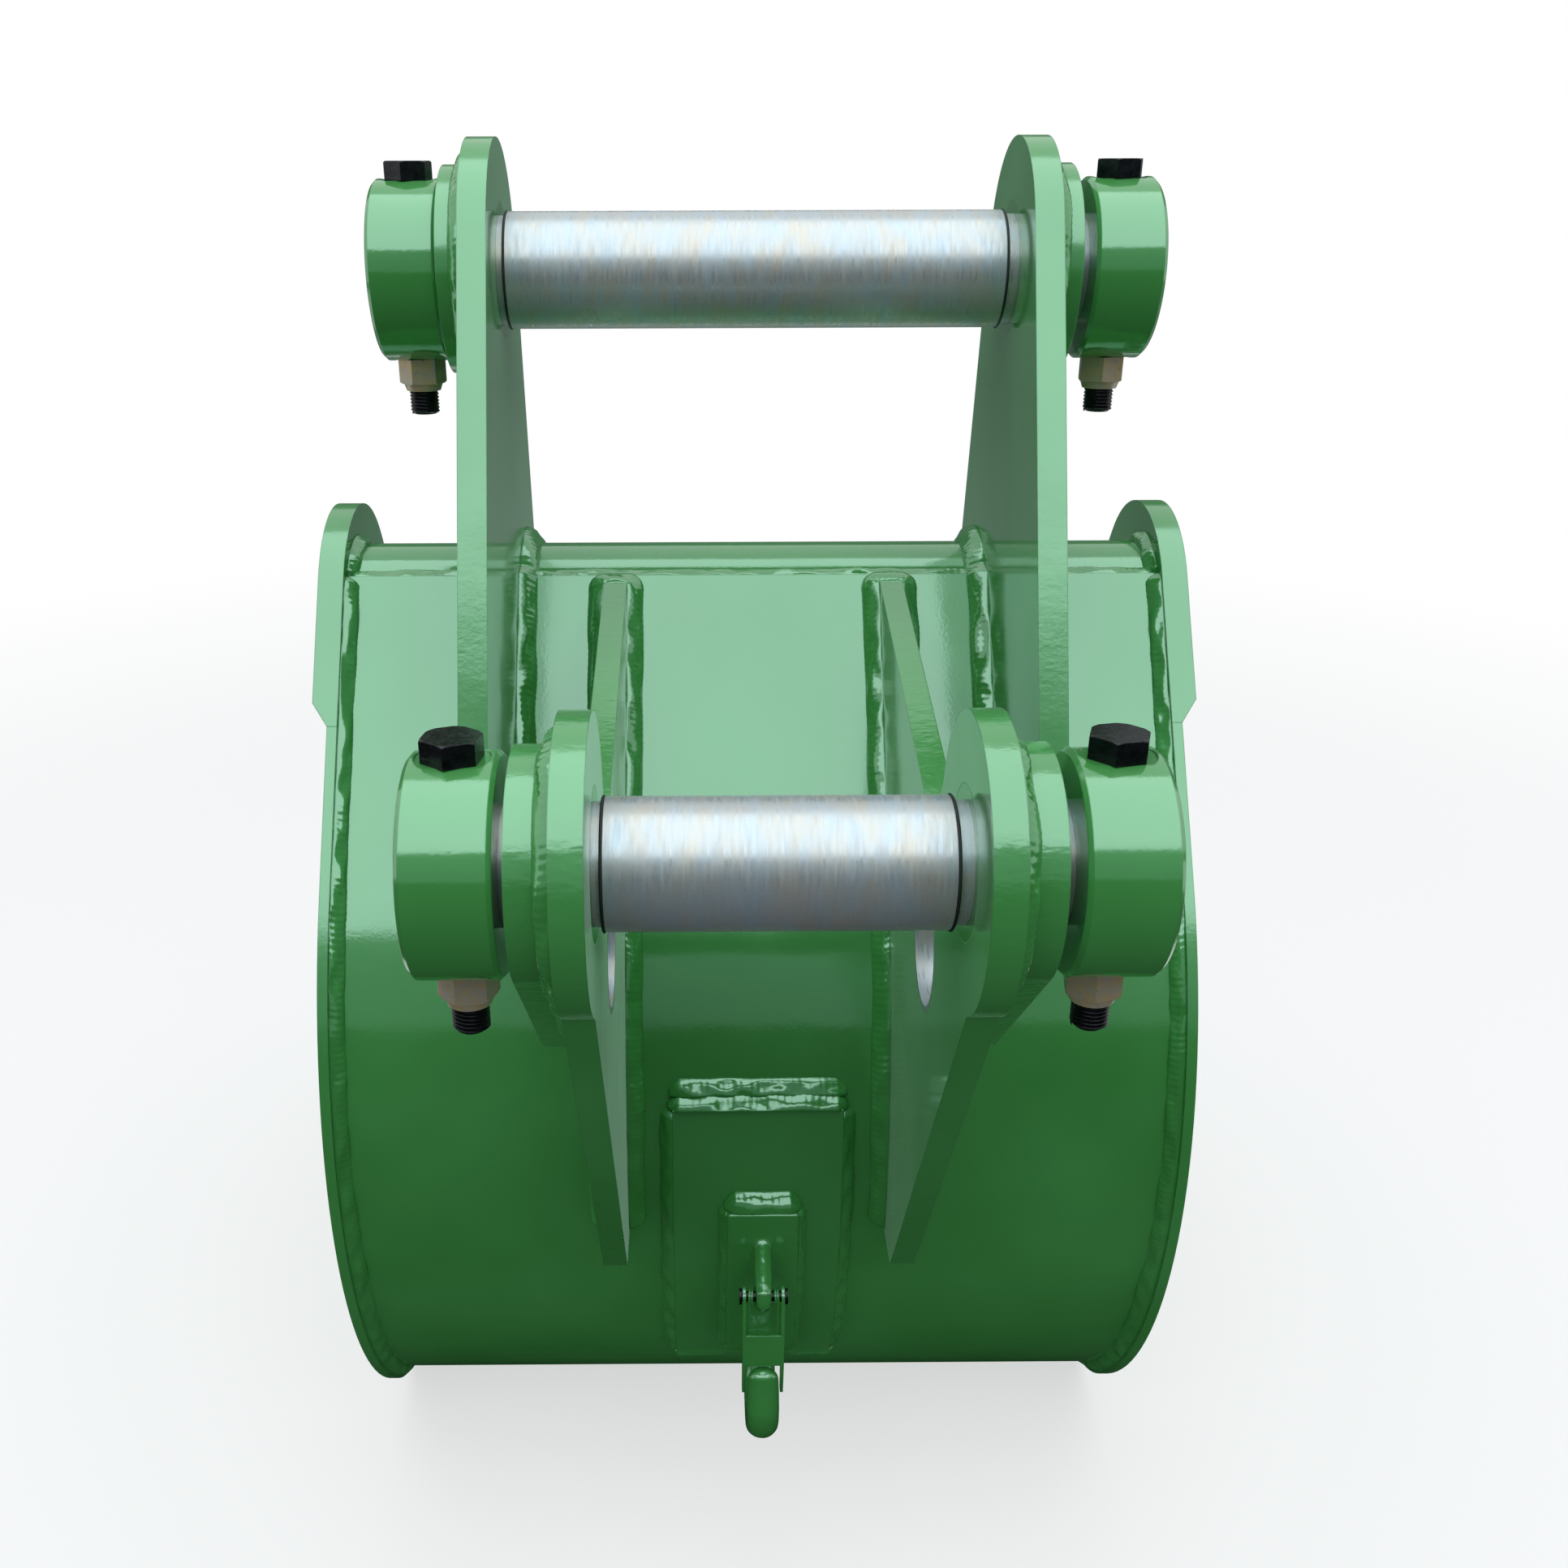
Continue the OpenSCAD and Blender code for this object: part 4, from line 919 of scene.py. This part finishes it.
def thread(name, x, centre, rides_on):
    """A helical ridge on a bolt that hangs plumb through the pin's centre at x."""
    turns = (THREAD_HIGH - THREAD_LOW) / THREAD_PITCH
    rings = []
    count = round(turns * RINGS_A_TURN)
    for i in range(count + 1):
        part = i / count
        angle = 2 * math.pi * turns * part
        fade = min(1, FADE_RATE * part + THINNEST, FADE_RATE * (1 - part) + THINNEST)
        z = centre.y + THREAD_HIGH + (THREAD_LOW - THREAD_HIGH) * part
        out = Vector((math.cos(angle), math.sin(angle), 0))
        middle = Vector((x, centre.x, z))
        rings.append([middle + out * (SHANK_R - IN_SHANK) + Vector((0, 0, HALF_ROOT)),
                      middle + out * (SHANK_R + CREST * fade) + Vector((0, 0, HALF_CREST)),
                      middle + out * (SHANK_R + CREST * fade) - Vector((0, 0, HALF_CREST)),
                      middle + out * (SHANK_R - IN_SHANK) - Vector((0, 0, HALF_ROOT))])
    return body_of_rings(name, rings, False, rides_on, black)


for pin, centre in (("dipper", DIPPER_C), ("link", LINK_C)):
    for tag in ("left", "right"):
        low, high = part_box(f"{pin}_collar_{tag}")
        thread(f"{pin}_thread_{tag}", (low.x + high.x) / 2, centre, f"{pin}_pin_set")

# %% [markdown]
# The latch closes the hook by a torsion spring of 2 mm wire: a turn and a half round the pin
# on each side of the eye, with one leg on the hook and one along the latch. The solid has
# plain rings there; a wire swept along its real path shows the turns. It was sprayed green
# with the rest of the bucket.

# %% Latch spring
PIVOT = Vector((-0.85667, 0.280))
WIRE_R, COIL_R, WIRE_SIDES = 0.00096, 0.0054, 12
COIL_FROM, COIL_TO = 0.0082, 0.0112
SHORT_LEG, SHORT_STEP, SHORT_STEPS = 0.009, 0.001, 8
COIL_TURN, COIL_STEPS = 540, 72
LONG_STEP, LONG_LEAN, LONG_STEPS = 0.002, 0.00014, 17
OFF_AXIS = Vector((1, 0.001, 0.002))


def wire_path(side):
    """The middle line of one spring: short leg up, a turn and a half, long leg down."""
    x0, x1 = HOOK_X + side * COIL_FROM, HOOK_X + side * COIL_TO
    points = [Vector((x0, PIVOT.x + COIL_R, PIVOT.y - SHORT_LEG + SHORT_STEP * i))
              for i in range(SHORT_STEPS + 1)]
    for i in range(COIL_STEPS + 1):
        angle = math.radians(COIL_TURN * i / COIL_STEPS)
        points.append(Vector((x0 + (x1 - x0) * i / COIL_STEPS, PIVOT.x + COIL_R * math.cos(angle),
                              PIVOT.y + COIL_R * math.sin(angle))))
    for i in range(1, LONG_STEPS + 1):
        points.append(Vector((x1, PIVOT.x - COIL_R - LONG_LEAN * i, PIVOT.y - LONG_STEP * i)))
    return points


def wire(name, points, radius):
    """A round wire along a path, with flat ends."""
    rings = []
    for i, p in enumerate(points):
        ahead = points[min(i + 1, len(points) - 1)] - points[max(i - 1, 0)]
        first = ahead.cross(OFF_AXIS).normalized()
        second = ahead.cross(first).normalized()
        round_wire = [2 * math.pi * j / WIRE_SIDES for j in range(WIRE_SIDES)]
        rings.append([p + radius * (math.cos(a) * first + math.sin(a) * second) for a in round_wire])
    return body_of_rings(name, rings, False, "latch", gloss_enamel)


springs = [wire(f"latch_spring_{tag}", wire_path(side), WIRE_R) for tag, side in (("left", -1), ("right", 1))]
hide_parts("latch_spring")
print("spring pieces:", [s.name for s in springs])

# %% [markdown]
# Last, the view settings: the plain Standard transform, so that a colour renders about as it
# is written.

# %% View settings and the end
scene.view_settings.view_transform = "Standard"
